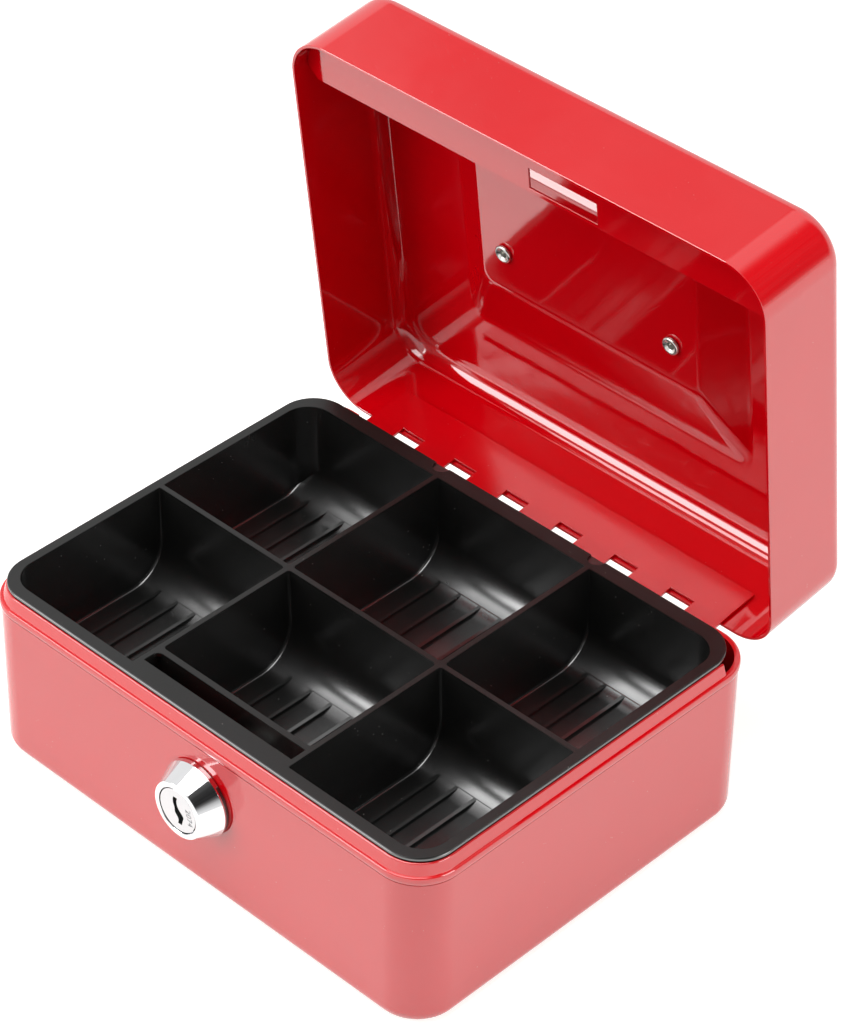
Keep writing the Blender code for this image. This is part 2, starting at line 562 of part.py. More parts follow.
def lock_cam(frame):
    """Hooked cam, drawn locked and then turned back to its unlocked rest: level, pointing to +X."""
    arm = CAM_ARM / 2
    tip = arm + CAM_BARB
    tip_deg = math.degrees(math.acos(-tip / CAM_REACH))
    side_deg = math.degrees(math.acos(arm / CAM_REACH))
    hub_deg = math.degrees(math.acos(arm / CAM_HUB_RADIUS))
    outline = arc((0, 0), CAM_REACH, side_deg, tip_deg, 6) + [(-tip, CAM_HOOK), (-arm, CAM_HOOK)]
    outline += arc((0, 0), CAM_HUB_RADIUS, 180 - hub_deg, 360 + hub_deg, 20)
    cam = prism(outline, "Y", CAM_Y, CAM_Y + CAM_THICKNESS)
    bmesh.ops.rotate(cam, verts=cam.verts, matrix=Matrix.Rotation(math.pi / 2, 3, "Y"))
    bmesh.ops.translate(cam, verts=cam.verts, vec=(LOCK_X, 0, LOCK_HEIGHT))
    cam = piece("lock_cam", cam, STEEL, frame)
    wide, high = BOSS[0] / 2 + GAP, BOSS[1] / 2 + GAP
    hole = box((LOCK_X - wide, CAM_Y - SHEET, LOCK_HEIGHT - high),
               (LOCK_X + wide, CAM_Y + CAM_THICKNESS + SHEET, LOCK_HEIGHT + high))
    boolean(cam, piece("cam_hole_cutter", hole, STEEL, frame, cutter=True))


def cam_screw(frame):
    """Screw that holds the cam on the plug's boss, with a slotted head."""
    head = SCREW_Y + SCREW_HEAD
    profile = [(0, SCREW_Y - SCREW_LENGTH), (SCREW_RADIUS, SCREW_Y - SCREW_LENGTH), (SCREW_RADIUS, SCREW_Y),
               (SCREW_HEAD_RADIUS, SCREW_Y), (SCREW_HEAD_RADIUS, head - SCREW_HEAD / 3),
               (SCREW_HEAD_RADIUS - SCREW_HEAD / 3, head), (0, head)]
    screw = piece("cam_screw", along_y(turned(profile, 20), LOCK_X, LOCK_HEIGHT), STEEL, frame)
    slot = box((LOCK_X - 2 * SCREW_HEAD_RADIUS, head - SCREW_HEAD / 2, LOCK_HEIGHT - 0.5 * MM),
               (LOCK_X + 2 * SCREW_HEAD_RADIUS, head + SCREW_HEAD, LOCK_HEIGHT + 0.5 * MM))
    boolean(screw, piece("screw_slot_cutter", slot, STEEL, frame, cutter=True))


def tray_rows():
    """Front and back face of the two rows of compartments at the rim, and the same for the short one."""
    front = -CASE_DEPTH / 2 + TRAY_INSET + TRAY_BODY_PLAY + TRAY_ON_LIP + TRAY_WALL
    back = TRAY_BACK_Y - TRAY_BACK_RIM
    return (front, DIVIDER_Y - DIVIDER / 2), (DIVIDER_Y + DIVIDER / 2, back), BAY_BACK_Y + DIVIDER


def tray_columns():
    """Left and right face of the three columns of compartments at the rim."""
    side = CASE_WIDTH / 2 - TRAY_INSET - TRAY_BODY_PLAY - TRAY_ON_LIP - TRAY_WALL
    edges = [-side] + [x + s * DIVIDER / 2 for x in DIVIDER_XS for s in (-1, 1)] + [side]
    return list(zip(edges[0::2], edges[1::2]))


def tray_outline(inset, back_extra=0.0):
    """The tray's rim outline moved inwards; its back edge can move by more."""
    front = -CASE_DEPTH / 2 + TRAY_INSET + inset
    back = TRAY_BACK_Y - inset - back_extra
    width = CASE_WIDTH - 2 * (TRAY_INSET + inset)
    return rounded_outline(width, back - front, CORNER_RADIUS - TRAY_INSET - inset, (front + back) / 2, 6)


def pocket(left, right, front, back):
    """One compartment as a solid: a flat floor that sweeps up to the back wall, with drafted side walls."""
    draft = math.tan(math.radians(TRAY_DRAFT_DEG))
    top = TRAY_TOP_Z + TRAY_RIM
    scoop = arc((back - SCOOP_RADIUS, TRAY_FLOOR_Z + SCOOP_RADIUS), SCOOP_RADIUS, 270, 360, 8)
    points = [(front, top), (front + draft * TRAY_DEPTH, TRAY_FLOOR_Z)] + scoop + [(back, top)]
    made = prism(points, "X", left, right)
    for vert in made.verts:
        lean = draft * (TRAY_TOP_Z - vert.co.z)
        vert.co.x += lean if vert.co.x < (left + right) / 2 else -lean
    return made


def coin_tray(frame):
    """Moulded tray: six scooped compartments, the short one leaving a bay and a slot for the lock's cam."""
    (front, middle), (middle_back, back), short_front = tray_rows()
    skin = SCOOP_RADIUS + TRAY_SKIN
    low = TRAY_FLOOR_Z - TRAY_SKIN
    apex = math.degrees(math.acos(SCOOP_RADIUS / skin))
    under = [(front - TRAY_WALL, low)]
    under += arc((middle - SCOOP_RADIUS, TRAY_FLOOR_Z + SCOOP_RADIUS), skin, 270, 360 - apex, 7) + [(middle, low)]
    under += arc((back - SCOOP_RADIUS, TRAY_FLOOR_Z + SCOOP_RADIUS), skin, 270, 360, 8)
    under += [(back + TRAY_SKIN, TRAY_TOP_Z - TRAY_RIM / 2), (front - TRAY_WALL, TRAY_TOP_Z - TRAY_RIM / 2)]
    half = CASE_WIDTH / 2
    tray = piece("coin_tray", prism(under, "X", -half, half), PLASTIC, frame)

    play = TRAY_BODY_PLAY + TRAY_ON_LIP
    draft = math.tan(math.radians(TRAY_DRAFT_DEG)) * TRAY_DEPTH
    sides = loft([[(x, y, low - TRAY_RIM) for x, y in tray_outline(play + draft)],
                  [(x, y, TRAY_TOP_Z) for x, y in tray_outline(play)]])
    boolean(tray, piece("tray_sides_former", sides, PLASTIC, frame, cutter=True), "INTERSECT")
    edge = TRAY_RIM / 4
    rim = [(edge, TRAY_BOTTOM_RIM_Z), (0, TRAY_BOTTOM_RIM_Z + edge), (0, TRAY_TOP_Z - edge), (edge, TRAY_TOP_Z)]
    rim = pressed(rim, tray_outline)
    boolean(tray, piece("tray_rim_former", rim, PLASTIC, frame, cutter=True), "UNION")

    pockets = bmesh.new()
    for k, (left, right) in enumerate(tray_columns()):
        join(pockets, pocket(left, right, short_front if k == 1 else front, middle))
        join(pockets, pocket(left, right, middle_back, back))
    pockets = piece("pocket_cutter", pockets, PLASTIC, frame, cutter=True)
    inner = loft([[(x, y, low) for x, y in tray_outline(play + TRAY_WALL + draft, TRAY_BACK_RIM - play - TRAY_WALL)],
                  [(x, y, 2 * TRAY_TOP_Z) for x, y in
                   tray_outline(play + TRAY_WALL, TRAY_BACK_RIM - play - TRAY_WALL)]])
    boolean(pockets, piece("pocket_corner_former", inner, PLASTIC, frame, cutter=True), "INTERSECT")
    boolean(tray, pockets)

    bay_half = CAM_REACH + LOCK_BAY_PLAY
    bay = box((LOCK_X - bay_half, -CASE_DEPTH, low - TRAY_RIM), (LOCK_X + bay_half, BAY_BACK_Y, TRAY_BOTTOM_RIM_Z))
    boolean(tray, piece("lock_bay_cutter", bay, PLASTIC, frame, cutter=True))
    slot = rounded_outline(SLOT_LENGTH, SLOT_WIDTH, SLOT_WIDTH / 4, SLOT_Y + SLOT_WIDTH / 2, 3)
    slot = prism([(x + LOCK_X, y) for x, y in slot], "Z", low, 2 * TRAY_TOP_Z)
    boolean(tray, piece("slot_cutter", slot, PLASTIC, frame, cutter=True))
    boolean(tray, piece("floor_rib_former", floor_ribs(), PLASTIC, frame, cutter=True), "UNION")


def floor_ribs():
    """Low ribs along each compartment's floor, from the front wall to the scoop."""
    (front, middle), (middle_back, back), short_front = tray_rows()
    wide, high = FLOOR_RIB
    draft = math.tan(math.radians(TRAY_DRAFT_DEG)) * TRAY_DEPTH
    ribs = bmesh.new()
    for k, (left, right) in enumerate(tray_columns()):
        spread = (right - left - 2 * draft) / (FLOOR_RIBS + 1)
        for start, end in ((short_front if k == 1 else front, middle), (middle_back, back)):
            for n in range(FLOOR_RIBS):
                x = left + draft + spread * (n + 1)
                far = end - SCOOP_RADIUS
                join(ribs, box((x - wide / 2, start + draft + 2 * wide, TRAY_FLOOR_Z - high / 2),
                               (x + wide / 2, far, TRAY_FLOOR_Z + high)))
    return ribs


def handle_bail(frame):
    """Bent steel rod: two turned-in ends in the brackets, two legs and a grip."""
    leg, reach, bend, foot = HANDLE_WIDTH / 2, HANDLE_REACH, HANDLE_BEND, HANDLE_END_BEND
    end = RIVET_SPACING / 2 - BRACKET_WIDTH / 2 - BRACKET_SHEET
    half = [(end, 0.0)] + arc((leg - foot, -foot), foot, 90, 0, 4) + arc((leg - bend, bend - reach), bend, 0, -90, 6)
    path = half + [(-x, y) for x, y in reversed(half)]
    curve = bpy.data.curves.new("handle_bail", "CURVE")
    curve.dimensions = "3D"
    curve.bevel_depth = HANDLE_ROD
    curve.bevel_resolution = 4
    curve.use_fill_caps = True
    spline = curve.splines.new("POLY")
    spline.points.add(len(path) - 1)
    for point, (x, y) in zip(spline.points, path):
        point.co = (x, y, 0, 1)
    curve.materials.append(material(CHROME))
    bail = bpy.data.objects.new("handle_bail", curve)
    bpy.context.collection.objects.link(bail)
    bail.parent = frame.empty


def handle_brackets(frame):
    """Saddle strips under the handle's ends, rolled over its rod and riveted to the recess floor."""
    for name, side in (("left", -1), ("right", 1)):
        middle = side * RIVET_SPACING / 2
        flat = HANDLE_PIVOT_Y - RIVET_Y + RIVET_HEAD_RADIUS + 2 * BRACKET_SHEET
        strip = rolled_strip(flat, BRACKET_SHEET, HANDLE_ROD + BRACKET_PLAY, ROLL_TURN_DEG - 30)
        points = [(HANDLE_PIVOT_Y + v, HANDLE_PIVOT_Z + u) for u, v in strip]
        bracket = prism(points, "X", middle - BRACKET_WIDTH / 2, middle + BRACKET_WIDTH / 2)
        bracket = piece(f"handle_bracket_{name}", bracket, CHROME, frame)
        hole = turned([(0, RECESS_Z), (RIVET_RADIUS + GAP, RECESS_Z), (RIVET_RADIUS + GAP, HANDLE_PIVOT_Z - HANDLE_ROD),
                       (0, HANDLE_PIVOT_Z - HANDLE_ROD)], 16)
        bmesh.ops.translate(hole, verts=hole.verts, vec=(middle, RIVET_Y, 0))
        boolean(bracket, piece(f"bracket_hole_cutter_{name}", hole, CHROME, frame, cutter=True))
        rivet(f"handle_rivet_{name}", middle, frame)


def rivet(name, x, frame):
    """Tubular rivet: domed head on the bracket, hollow end rolled over inside the lid."""
    top = RECESS_Z + GAP + BRACKET_SHEET + GAP
    inside = RECESS_Z - SHEET - GAP
    bulge = RIVET_RADIUS + 0.8 * MM
    profile = [(0, top + RIVET_HEAD), (RIVET_HEAD_RADIUS * 0.55, top + RIVET_HEAD * 0.9),
               (RIVET_HEAD_RADIUS * 0.9, top + RIVET_HEAD * 0.5), (RIVET_HEAD_RADIUS, top), (RIVET_RADIUS, top),
               (RIVET_RADIUS, inside), (bulge, inside)]
    profile += arc((bulge - 0.35 * MM, inside - 0.55 * MM), 0.4 * MM, 0, -90, 3)
    profile += [(RIVET_BORE, inside - 0.7 * MM), (RIVET_BORE * 0.9, RECESS_Z), (0, RECESS_Z + SHEET / 2)]
    made = turned(profile, 20)
    bmesh.ops.translate(made, verts=made.verts, vec=(x, RIVET_Y, 0))
    piece(name, made, STEEL, frame)


def build():
    for old in list(bpy.data.objects):
        bpy.data.objects.remove(old, do_unlink=True)
    lid = Frame("lid_pivot", (0, HINGE_Y, HINGE_Z))
    handle = Frame("handle_pivot", (0, HANDLE_PIVOT_Y, HANDLE_PIVOT_Z), lid)
    lock = Frame("lock_axis", (LOCK_X, FRONT_Y, LOCK_HEIGHT))
    wafer_frames = [Frame(f"wafer_slide_{k + 1}", (LOCK_X, y, LOCK_HEIGHT), lock)
                    for k, y in enumerate(wafer_places())]
    tray = Frame("tray_lift", (0, 0, TRAY_BOTTOM_RIM_Z))

    base_shell()
    base_hinge_leaf()
    hinge_pin()
    lock_housing()
    lock_ring()
    lock_nut()
    lock_plug(lock)
    wafers(wafer_frames)
    lock_cam(lock)
    cam_screw(lock)
    coin_tray(tray)
    lid_shell(lid)
    lid_hinge_leaf(lid)
    rail(lid)
    handle_brackets(lid)
    handle_bail(handle)
    lid.empty.rotation_euler.x = -math.radians(LID_OPEN_DEG)


build()
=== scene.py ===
# %% [markdown]
# A small steel cash box with its lid open. This notebook dresses the finished construction: a fixed frame
# already says where every piece sits and how it moves, and every cell below either makes one piece again with
# a finer surface or mixes one finish.

# %% Load the frame
import json
import math

import bmesh
import bpy
import numpy as np
from mathutils import Matrix, Vector


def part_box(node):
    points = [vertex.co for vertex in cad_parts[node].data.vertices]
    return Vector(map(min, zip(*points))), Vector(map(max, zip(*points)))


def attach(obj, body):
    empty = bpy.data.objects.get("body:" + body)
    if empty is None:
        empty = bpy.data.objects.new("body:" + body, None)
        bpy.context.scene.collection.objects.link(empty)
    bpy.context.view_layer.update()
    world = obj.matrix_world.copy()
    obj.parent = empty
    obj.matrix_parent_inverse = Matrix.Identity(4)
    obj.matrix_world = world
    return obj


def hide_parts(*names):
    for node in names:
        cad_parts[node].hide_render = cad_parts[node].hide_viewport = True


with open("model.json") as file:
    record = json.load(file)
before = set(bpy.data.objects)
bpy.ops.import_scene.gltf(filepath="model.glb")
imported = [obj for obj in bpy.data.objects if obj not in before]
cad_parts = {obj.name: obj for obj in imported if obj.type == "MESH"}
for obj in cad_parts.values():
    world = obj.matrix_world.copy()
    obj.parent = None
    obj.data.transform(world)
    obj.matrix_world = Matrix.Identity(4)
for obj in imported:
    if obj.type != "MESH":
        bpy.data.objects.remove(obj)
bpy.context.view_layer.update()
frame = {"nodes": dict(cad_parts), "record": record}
MM = 0.001
NODES = frame["nodes"]
RECORD = frame["record"]
JOINTS = {joint["name"]: joint for joint in RECORD["behaviour"]["joints"]}
BODY_OF = {node: body for body, nodes in RECORD["behaviour"]["bodies"].items() for node in nodes}
SLOT_OF = {part["node"]: part["material_slot"] for part in RECORD["subparts"]}


def placed(name, data):
    """A new object of the scene that holds a mesh, a lamp, a lens or a text."""
    made = bpy.data.objects.new(name, data)
    bpy.context.scene.collection.objects.link(made)
    return made


# %% [markdown]
# The camera stands in front of the right corner and looks down into the open box with a long lens, so the
# upright edges stay almost parallel. A small shift centres the box without turning the camera.

# %% Camera
CAMERA_PLACE = (504.81 * MM, -510.71 * MM, 645.62 * MM)
CAMERA_TURN_DEG = 44.817
CAMERA_TILT_DEG = 51.829
CAMERA_ROLL_DEG = 0.182
LENS_MM = 134.385
SENSOR_MM = 36.0
SHIFT = (0.0604, 0.0026)
NEAREST_SEEN = 10 * MM

lens = bpy.data.cameras.new("camera")
lens.sensor_width = SENSOR_MM
lens.lens = LENS_MM
lens.shift_x, lens.shift_y = SHIFT
lens.clip_start = NEAREST_SEEN
camera = placed("camera", lens)
stand = Matrix.Translation(CAMERA_PLACE)
for degrees, axis in ((CAMERA_TURN_DEG, "Z"), (CAMERA_TILT_DEG, "X"), (CAMERA_ROLL_DEG, "Z")):
    stand @= Matrix.Rotation(math.radians(degrees), 4, axis)
camera.matrix_world = stand
bpy.context.scene.camera = camera
print("camera:", [round(c, 3) for c in camera.location])


# %% [markdown]
# Materials are graphs of nodes. One helper adds a node, sets it up and plugs its inputs, so that each finish
# below reads as a short list of ingredients.

# %% Node helper
def add(tree, kind, inputs=None, **settings):
    """Add a node; `inputs` gives each named or numbered socket a value, or the socket that feeds it."""
    node = tree.nodes.new(kind)
    for name, value in settings.items():
        setattr(node, name, value)
    for name, value in (inputs or {}).items():
        socket = node.inputs[name]
        if isinstance(value, bpy.types.NodeSocket):
            tree.links.new(value, socket)
        else:
            socket.default_value = value
    return node


def combine(tree, operation, first, second):
    """The sum, product or other combination of two values or sockets, as a socket."""
    return add(tree, "ShaderNodeMath", {0: first, 1: second}, operation=operation).outputs[0]


def ranged(tree, value, low, high, at_low=0.0, at_high=1.0, **settings):
    """`value` carried from the range low to high onto at_low to at_high and held at its ends, as a socket."""
    ends = {"Value": value, "From Min": low, "From Max": high, "To Min": at_low, "To Max": at_high}
    return add(tree, "ShaderNodeMapRange", ends, **settings).outputs[0]


def new_material(name):
    """An empty material with its output node and Object coordinates ready."""
    made = bpy.data.materials.new(name)
    made.use_nodes = True
    tree = made.node_tree
    tree.nodes.clear()
    output = add(tree, "ShaderNodeOutputMaterial")
    place = add(tree, "ShaderNodeTexCoord").outputs["Object"]
    return made, tree, output, place


# %% [markdown]
# The box stands on a white table in a white room. The floor is a matt plane that catches a soft shadow; to
# the camera and in gloss it also glows, so that it runs into the white behind it. As in a studio, dark
# curtains hang behind the viewer, to the right and over the back: parts of the sky that only a reflection
# sees, with a noise for folds. They make the chrome's dark bands and keep the tray black. Three softboxes
# give the light and the bright lines on round edges.

# %% Floor and room
FLOOR_SIZE = 6.0
FLOOR_DROP = 0.2 * MM
FLOOR_WHITE = 0.55
FLOOR_GLOW = 0.80
FLOOR_MIRRORED = 0.80
FLOOR_TINT = (1.0, 0.985, 0.95, 1)
ROOM_LIGHT = 0.27
ROOM_SEEN = 1.0
# direction, light left inside the folds and on them, cosines where the dimming starts and is full
CURTAINS = {
    "behind_viewer": (CAMERA_PLACE, 0.036, 0.16, 0.78, 0.93),
    "right": ((0.75, 0.3, 0.6), 0.036, 0.16, 0.62, 0.86),
    "left_front": ((-0.52, -0.53, 0.67), 0.15, 0.35, 0.96, 0.985),
    "ceiling": ((-0.52, 0.30, 0.80), 0.96, 1.0, 0.86, 0.96),
    "left_back": ((-0.52, 0.56, 0.64), 0.30, 0.60, 0.98, 0.996),
}
FOLDS = 26
FOLD_DETAIL = 3.0
FOLD_RANGE = (0.3, 0.7)
view_settings = bpy.context.scene.view_settings
view_settings.view_transform = "Standard"


def sight(tree, to_camera=1.0, to_mirror=1.0):
    """One value where the camera looks, one where a reflection looks, 0 where light is only bounced."""
    path = add(tree, "ShaderNodeLightPath")
    camera_ray = combine(tree, "MULTIPLY", path.outputs["Is Camera Ray"], to_camera)
    mirror_ray = combine(tree, "MULTIPLY", path.outputs["Is Glossy Ray"], to_mirror)
    return combine(tree, "MAXIMUM", camera_ray, mirror_ray)


floor_mesh = bpy.data.meshes.new("floor")
half = FLOOR_SIZE / 2
floor_mesh.from_pydata([(-half, -half, 0), (half, -half, 0), (half, half, 0), (-half, half, 0)], [], [(0, 1, 2, 3)])
floor = placed("floor", floor_mesh)
floor.location.z = -FLOOR_DROP
paper, tree, output, _ = new_material("white_table")
matt = add(tree, "ShaderNodeBsdfDiffuse", {"Color": (FLOOR_WHITE, FLOOR_WHITE, FLOOR_WHITE, 1)})
glow = add(tree, "ShaderNodeEmission", {"Color": FLOOR_TINT, "Strength": sight(tree, FLOOR_GLOW, FLOOR_MIRRORED)})
both = add(tree, "ShaderNodeAddShader", {0: matt.outputs[0], 1: glow.outputs[0]})
tree.links.new(both.outputs[0], output.inputs["Surface"])
floor_mesh.materials.append(paper)

world = bpy.data.worlds.new("white_room")
world.use_nodes = True
bpy.context.scene.world = world
tree = world.node_tree
tree.nodes.clear()
direction = add(tree, "ShaderNodeTexCoord").outputs["Generated"]
strength = ranged(tree, sight(tree), 0.0, 1.0, ROOM_LIGHT, ROOM_SEEN)
glossy = add(tree, "ShaderNodeLightPath").outputs["Is Glossy Ray"]
folds = add(tree, "ShaderNodeTexNoise", {"Vector": direction, "Scale": FOLDS, "Detail": FOLD_DETAIL}).outputs["Fac"]
for middle, inside, outside, start, full in CURTAINS.values():
    towards = add(tree, "ShaderNodeVectorMath", {0: direction, 1: Vector(middle).normalized()},
                  operation="DOT_PRODUCT").outputs["Value"]
    cloth = ranged(tree, folds, *FOLD_RANGE, inside, outside)
    curtain = ranged(tree, towards, start, full, 1.0, cloth, interpolation_type="SMOOTHSTEP")
    shade = add(tree, "ShaderNodeMix", {"Factor": glossy, "A": 1.0, "B": curtain})
    strength = combine(tree, "MULTIPLY", strength, shade.outputs[0])
room = add(tree, "ShaderNodeBackground", {"Color": (1, 1, 1, 1), "Strength": strength})
tree.links.new(room.outputs[0], add(tree, "ShaderNodeOutputWorld").inputs["Surface"])

# name: direction, distance and size in metres, power in watts
LAMPS = {
    "key_softbox": ((-0.52, -0.745, 0.42), 1.2, 0.62, 0.60, 7.0),
    "top_softbox": ((-0.10, -0.25, 1.0), 1.3, 1.1, 1.1, 17.0),
    "right_softbox": ((0.95, 0.2, 0.35), 1.3, 0.6, 0.6, 8.5),
}
for name, (direction, distance, width, height, power) in LAMPS.items():
    lamp = bpy.data.lights.new(name, "AREA")
    lamp.energy = power
    lamp.shape = "RECTANGLE"
    lamp.size, lamp.size_y = width, height
    holder = placed(name, lamp)
    holder.location = Vector(direction).normalized() * distance
    holder.rotation_euler = (-holder.location).to_track_quat("-Z", "Y").to_euler()
print("curtains:", ", ".join(CURTAINS))
print("lamps:", ", ".join(LAMPS))


# %% [markdown]
# Some effects show on more than one finish. Each is a node group with named inputs and outputs, built once:
# the slight ripple of a sprayed or moulded surface, the fine scratches of handling, and the patchy film of
# dust and finger marks that makes gloss uneven. All follow Object coordinates, so a pattern stays in its
# place on a piece that moves.

# %% Shared effects
SCRATCH_STRETCH = (0.02, 1.0, 0.35)
SCRATCH_LINES = (0.66, 0.74)
HANDLED_SCALE = 55
HANDLED_RANGE = (0.48, 0.62)
CLOUD_RANGE = (0.35, 0.7)
SPECK_RANGE = (0.10, 0.06)
DUSTY_SCALE = 300
DUSTY_RANGE = (0.62, 0.66)


def new_group(name, inputs, outputs):
    """A node group with float or vector inputs (name: default) and float outputs; returns group, ins, outs."""
    group = bpy.data.node_groups.new(name, "ShaderNodeTree")
    group.interface.new_socket("Place", in_out="INPUT", socket_type="NodeSocketVector")
    for label, value in inputs.items():
        socket = group.interface.new_socket(label, in_out="INPUT", socket_type="NodeSocketFloat")
        socket.default_value = value
    for label in outputs:
        group.interface.new_socket(label, in_out="OUTPUT", socket_type="NodeSocketFloat")
    return group, group.nodes.new("NodeGroupInput").outputs, group.nodes.new("NodeGroupOutput").inputs


def noise(tree, place, scale, detail=2.0, roughness=0.5):
    """A soft random field around 0.5 with `scale` blobs in a metre."""
    return add(tree, "ShaderNodeTexNoise", {"Vector": place, "Scale": scale, "Detail": detail,
                                            "Roughness": roughness}).outputs["Fac"]


def ripple_group():
    """Height of a skin that isn't quite flat: broad waves plus a fine pebble, each with its own share."""
    shares = {"Wave Scale": 60, "Wave": 1, "Pebble Scale": 900, "Pebble": 0.1}
    group, ins, outs = new_group("ripple", shares, ["Height"])
    waves = combine(group, "MULTIPLY", noise(group, ins["Place"], ins["Wave Scale"]), ins["Wave"])
    pebble = combine(group, "MULTIPLY", noise(group, ins["Place"], ins["Pebble Scale"], 3), ins["Pebble"])
    group.links.new(combine(group, "ADD", waves, pebble), outs["Height"])
    return group


def scratch_group():
    """Thin lines left by handling: a stretched, slanted noise where it is high, kept inside soft patches."""
    group, ins, outs = new_group("scratches", {"Scale": 900, "Slant": 0.5, "Amount": 0.5}, ["Lines"])
    turned = add(group, "ShaderNodeCombineXYZ", {0: ins["Slant"], 1: ins["Slant"], 2: ins["Slant"]})
    turn_node = add(group, "ShaderNodeVectorRotate", {"Vector": ins["Place"], "Rotation": turned.outputs[0]},
                    rotation_type="EULER_XYZ")
    thin = add(group, "ShaderNodeVectorMath", {0: turn_node.outputs[0], 1: SCRATCH_STRETCH}, operation="MULTIPLY")
    sharp = ranged(group, noise(group, thin.outputs[0], ins["Scale"], 1), *SCRATCH_LINES)
    handled = ranged(group, noise(group, ins["Place"], HANDLED_SCALE), *HANDLED_RANGE)
    kept = combine(group, "MULTIPLY", sharp, handled)
    group.links.new(combine(group, "MULTIPLY", kept, ins["Amount"]), outs["Lines"])
    return group


def film_group():
    """Patches of dust and finger grease: a cloudy mask, and specks of dust that lie about."""
    group, ins, outs = new_group("film", {"Scale": 40, "Speck Scale": 700}, ["Cloud", "Specks"])
    cloud = ranged(group, noise(group, ins["Place"], ins["Scale"], 5, 0.6), *CLOUD_RANGE)
    cells = add(group, "ShaderNodeTexVoronoi", {"Vector": ins["Place"], "Scale": ins["Speck Scale"]})
    specks = ranged(group, cells.outputs["Distance"], *SPECK_RANGE)
    dusty = ranged(group, noise(group, ins["Place"], DUSTY_SCALE, 1), *DUSTY_RANGE)
    group.links.new(cloud, outs["Cloud"])
    group.links.new(combine(group, "MULTIPLY", specks, dusty), outs["Specks"])
    return group


RIPPLE, SCRATCHES, FILM = ripple_group(), scratch_group(), film_group()
print("effects:", RIPPLE.name, SCRATCHES.name, FILM.name)


# %% [markdown]
# A finish puts the effects together: the film and the scratches change the roughness and a little of the
# colour, and the ripple and the scratches tilt the surface through one Bump node. What is the same all over,
# such as the refractive index, is set on the shader itself. The enamel is a thick stoved gloss, hence its
# high index. The tray shines inside, where the mould was polished, and its rim is duller and grained, as the
# mould's parting face leaves it. The lock's face is a satin chrome beside the collar's bright one.

# %% Finishes
DUST = (0.5, 0.48, 0.45, 1)
MATT_ROUGHER = 0.14
MATT_SHEEN_LOST = 0.72
MATT_BLEND = 0.1 * MM
RIM_FACE_DEPTH = 0.15 * MM
GRAIN_SCALE = 2600
GRAIN = 2.2


def finish(name, colour, roughness, *, dull, tone, scratch, wave, pebble, bump, metallic=0.0, ior=1.5,
           specks=0.0, specular=0.5, matt_above=None):
    """A Principled material; `dull` and `tone` are how far the film changes roughness and colour. Above the
    height `matt_above` the surface is rougher and grained, and it shines less."""
    made, tree, output, place = new_material(name)
    ripple = add(tree, "ShaderNodeGroup", node_tree=RIPPLE)
    for label, (scale, share) in (("Wave", wave), ("Pebble", pebble)):
        ripple.inputs[label + " Scale"].default_value = scale
        ripple.inputs[label].default_value = share
    lines = add(tree, "ShaderNodeGroup", node_tree=SCRATCHES)
    lines.inputs["Amount"].default_value = scratch
    film = add(tree, "ShaderNodeGroup", node_tree=FILM)
    for group in (ripple, lines, film):
        tree.links.new(place, group.inputs["Place"])
    darker = tuple(c * (1 - tone) for c in colour)
    cloudy = add(tree, "ShaderNodeMix", {"Factor": film.outputs["Cloud"], "A": (*colour, 1), "B": (*darker, 1)},
                 data_type="RGBA")
    dusty = add(tree, "ShaderNodeMix", {"Factor": combine(tree, "MULTIPLY", film.outputs["Specks"], specks),
                                        "A": cloudy.outputs["Result"], "B": DUST}, data_type="RGBA")
    rough = combine(tree, "MULTIPLY", film.outputs["Cloud"], dull)
    rough = combine(tree, "ADD", rough, combine(tree, "MULTIPLY", lines.outputs["Lines"], 2 * dull))
    rough = combine(tree, "ADD", rough, roughness)
    height = combine(tree, "SUBTRACT", ripple.outputs["Height"], lines.outputs["Lines"])
    sheen = specular
    if matt_above:
        height_there = add(tree, "ShaderNodeSeparateXYZ", {0: place}).outputs["Z"]
        matt = ranged(tree, height_there, matt_above - MATT_BLEND, matt_above)
        rough = combine(tree, "ADD", rough, combine(tree, "MULTIPLY", matt, MATT_ROUGHER))
        sheen = combine(tree, "SUBTRACT", specular, combine(tree, "MULTIPLY", matt, specular * MATT_SHEEN_LOST))
        grain = combine(tree, "MULTIPLY", noise(tree, place, GRAIN_SCALE, 3), matt)
        height = combine(tree, "ADD", height, combine(tree, "MULTIPLY", grain, GRAIN))
    tilt_node = add(tree, "ShaderNodeBump", {"Height": height, "Strength": 1.0, "Distance": bump * MM})
    shader = add(tree, "ShaderNodeBsdfPrincipled", {"Base Color": dusty.outputs["Result"], "Roughness": rough,
                                                    "Metallic": metallic, "IOR": ior, "Specular IOR Level": sheen,
                                                    "Normal": tilt_node.outputs[0]})
    tree.links.new(shader.outputs[0], output.inputs["Surface"])
    return made


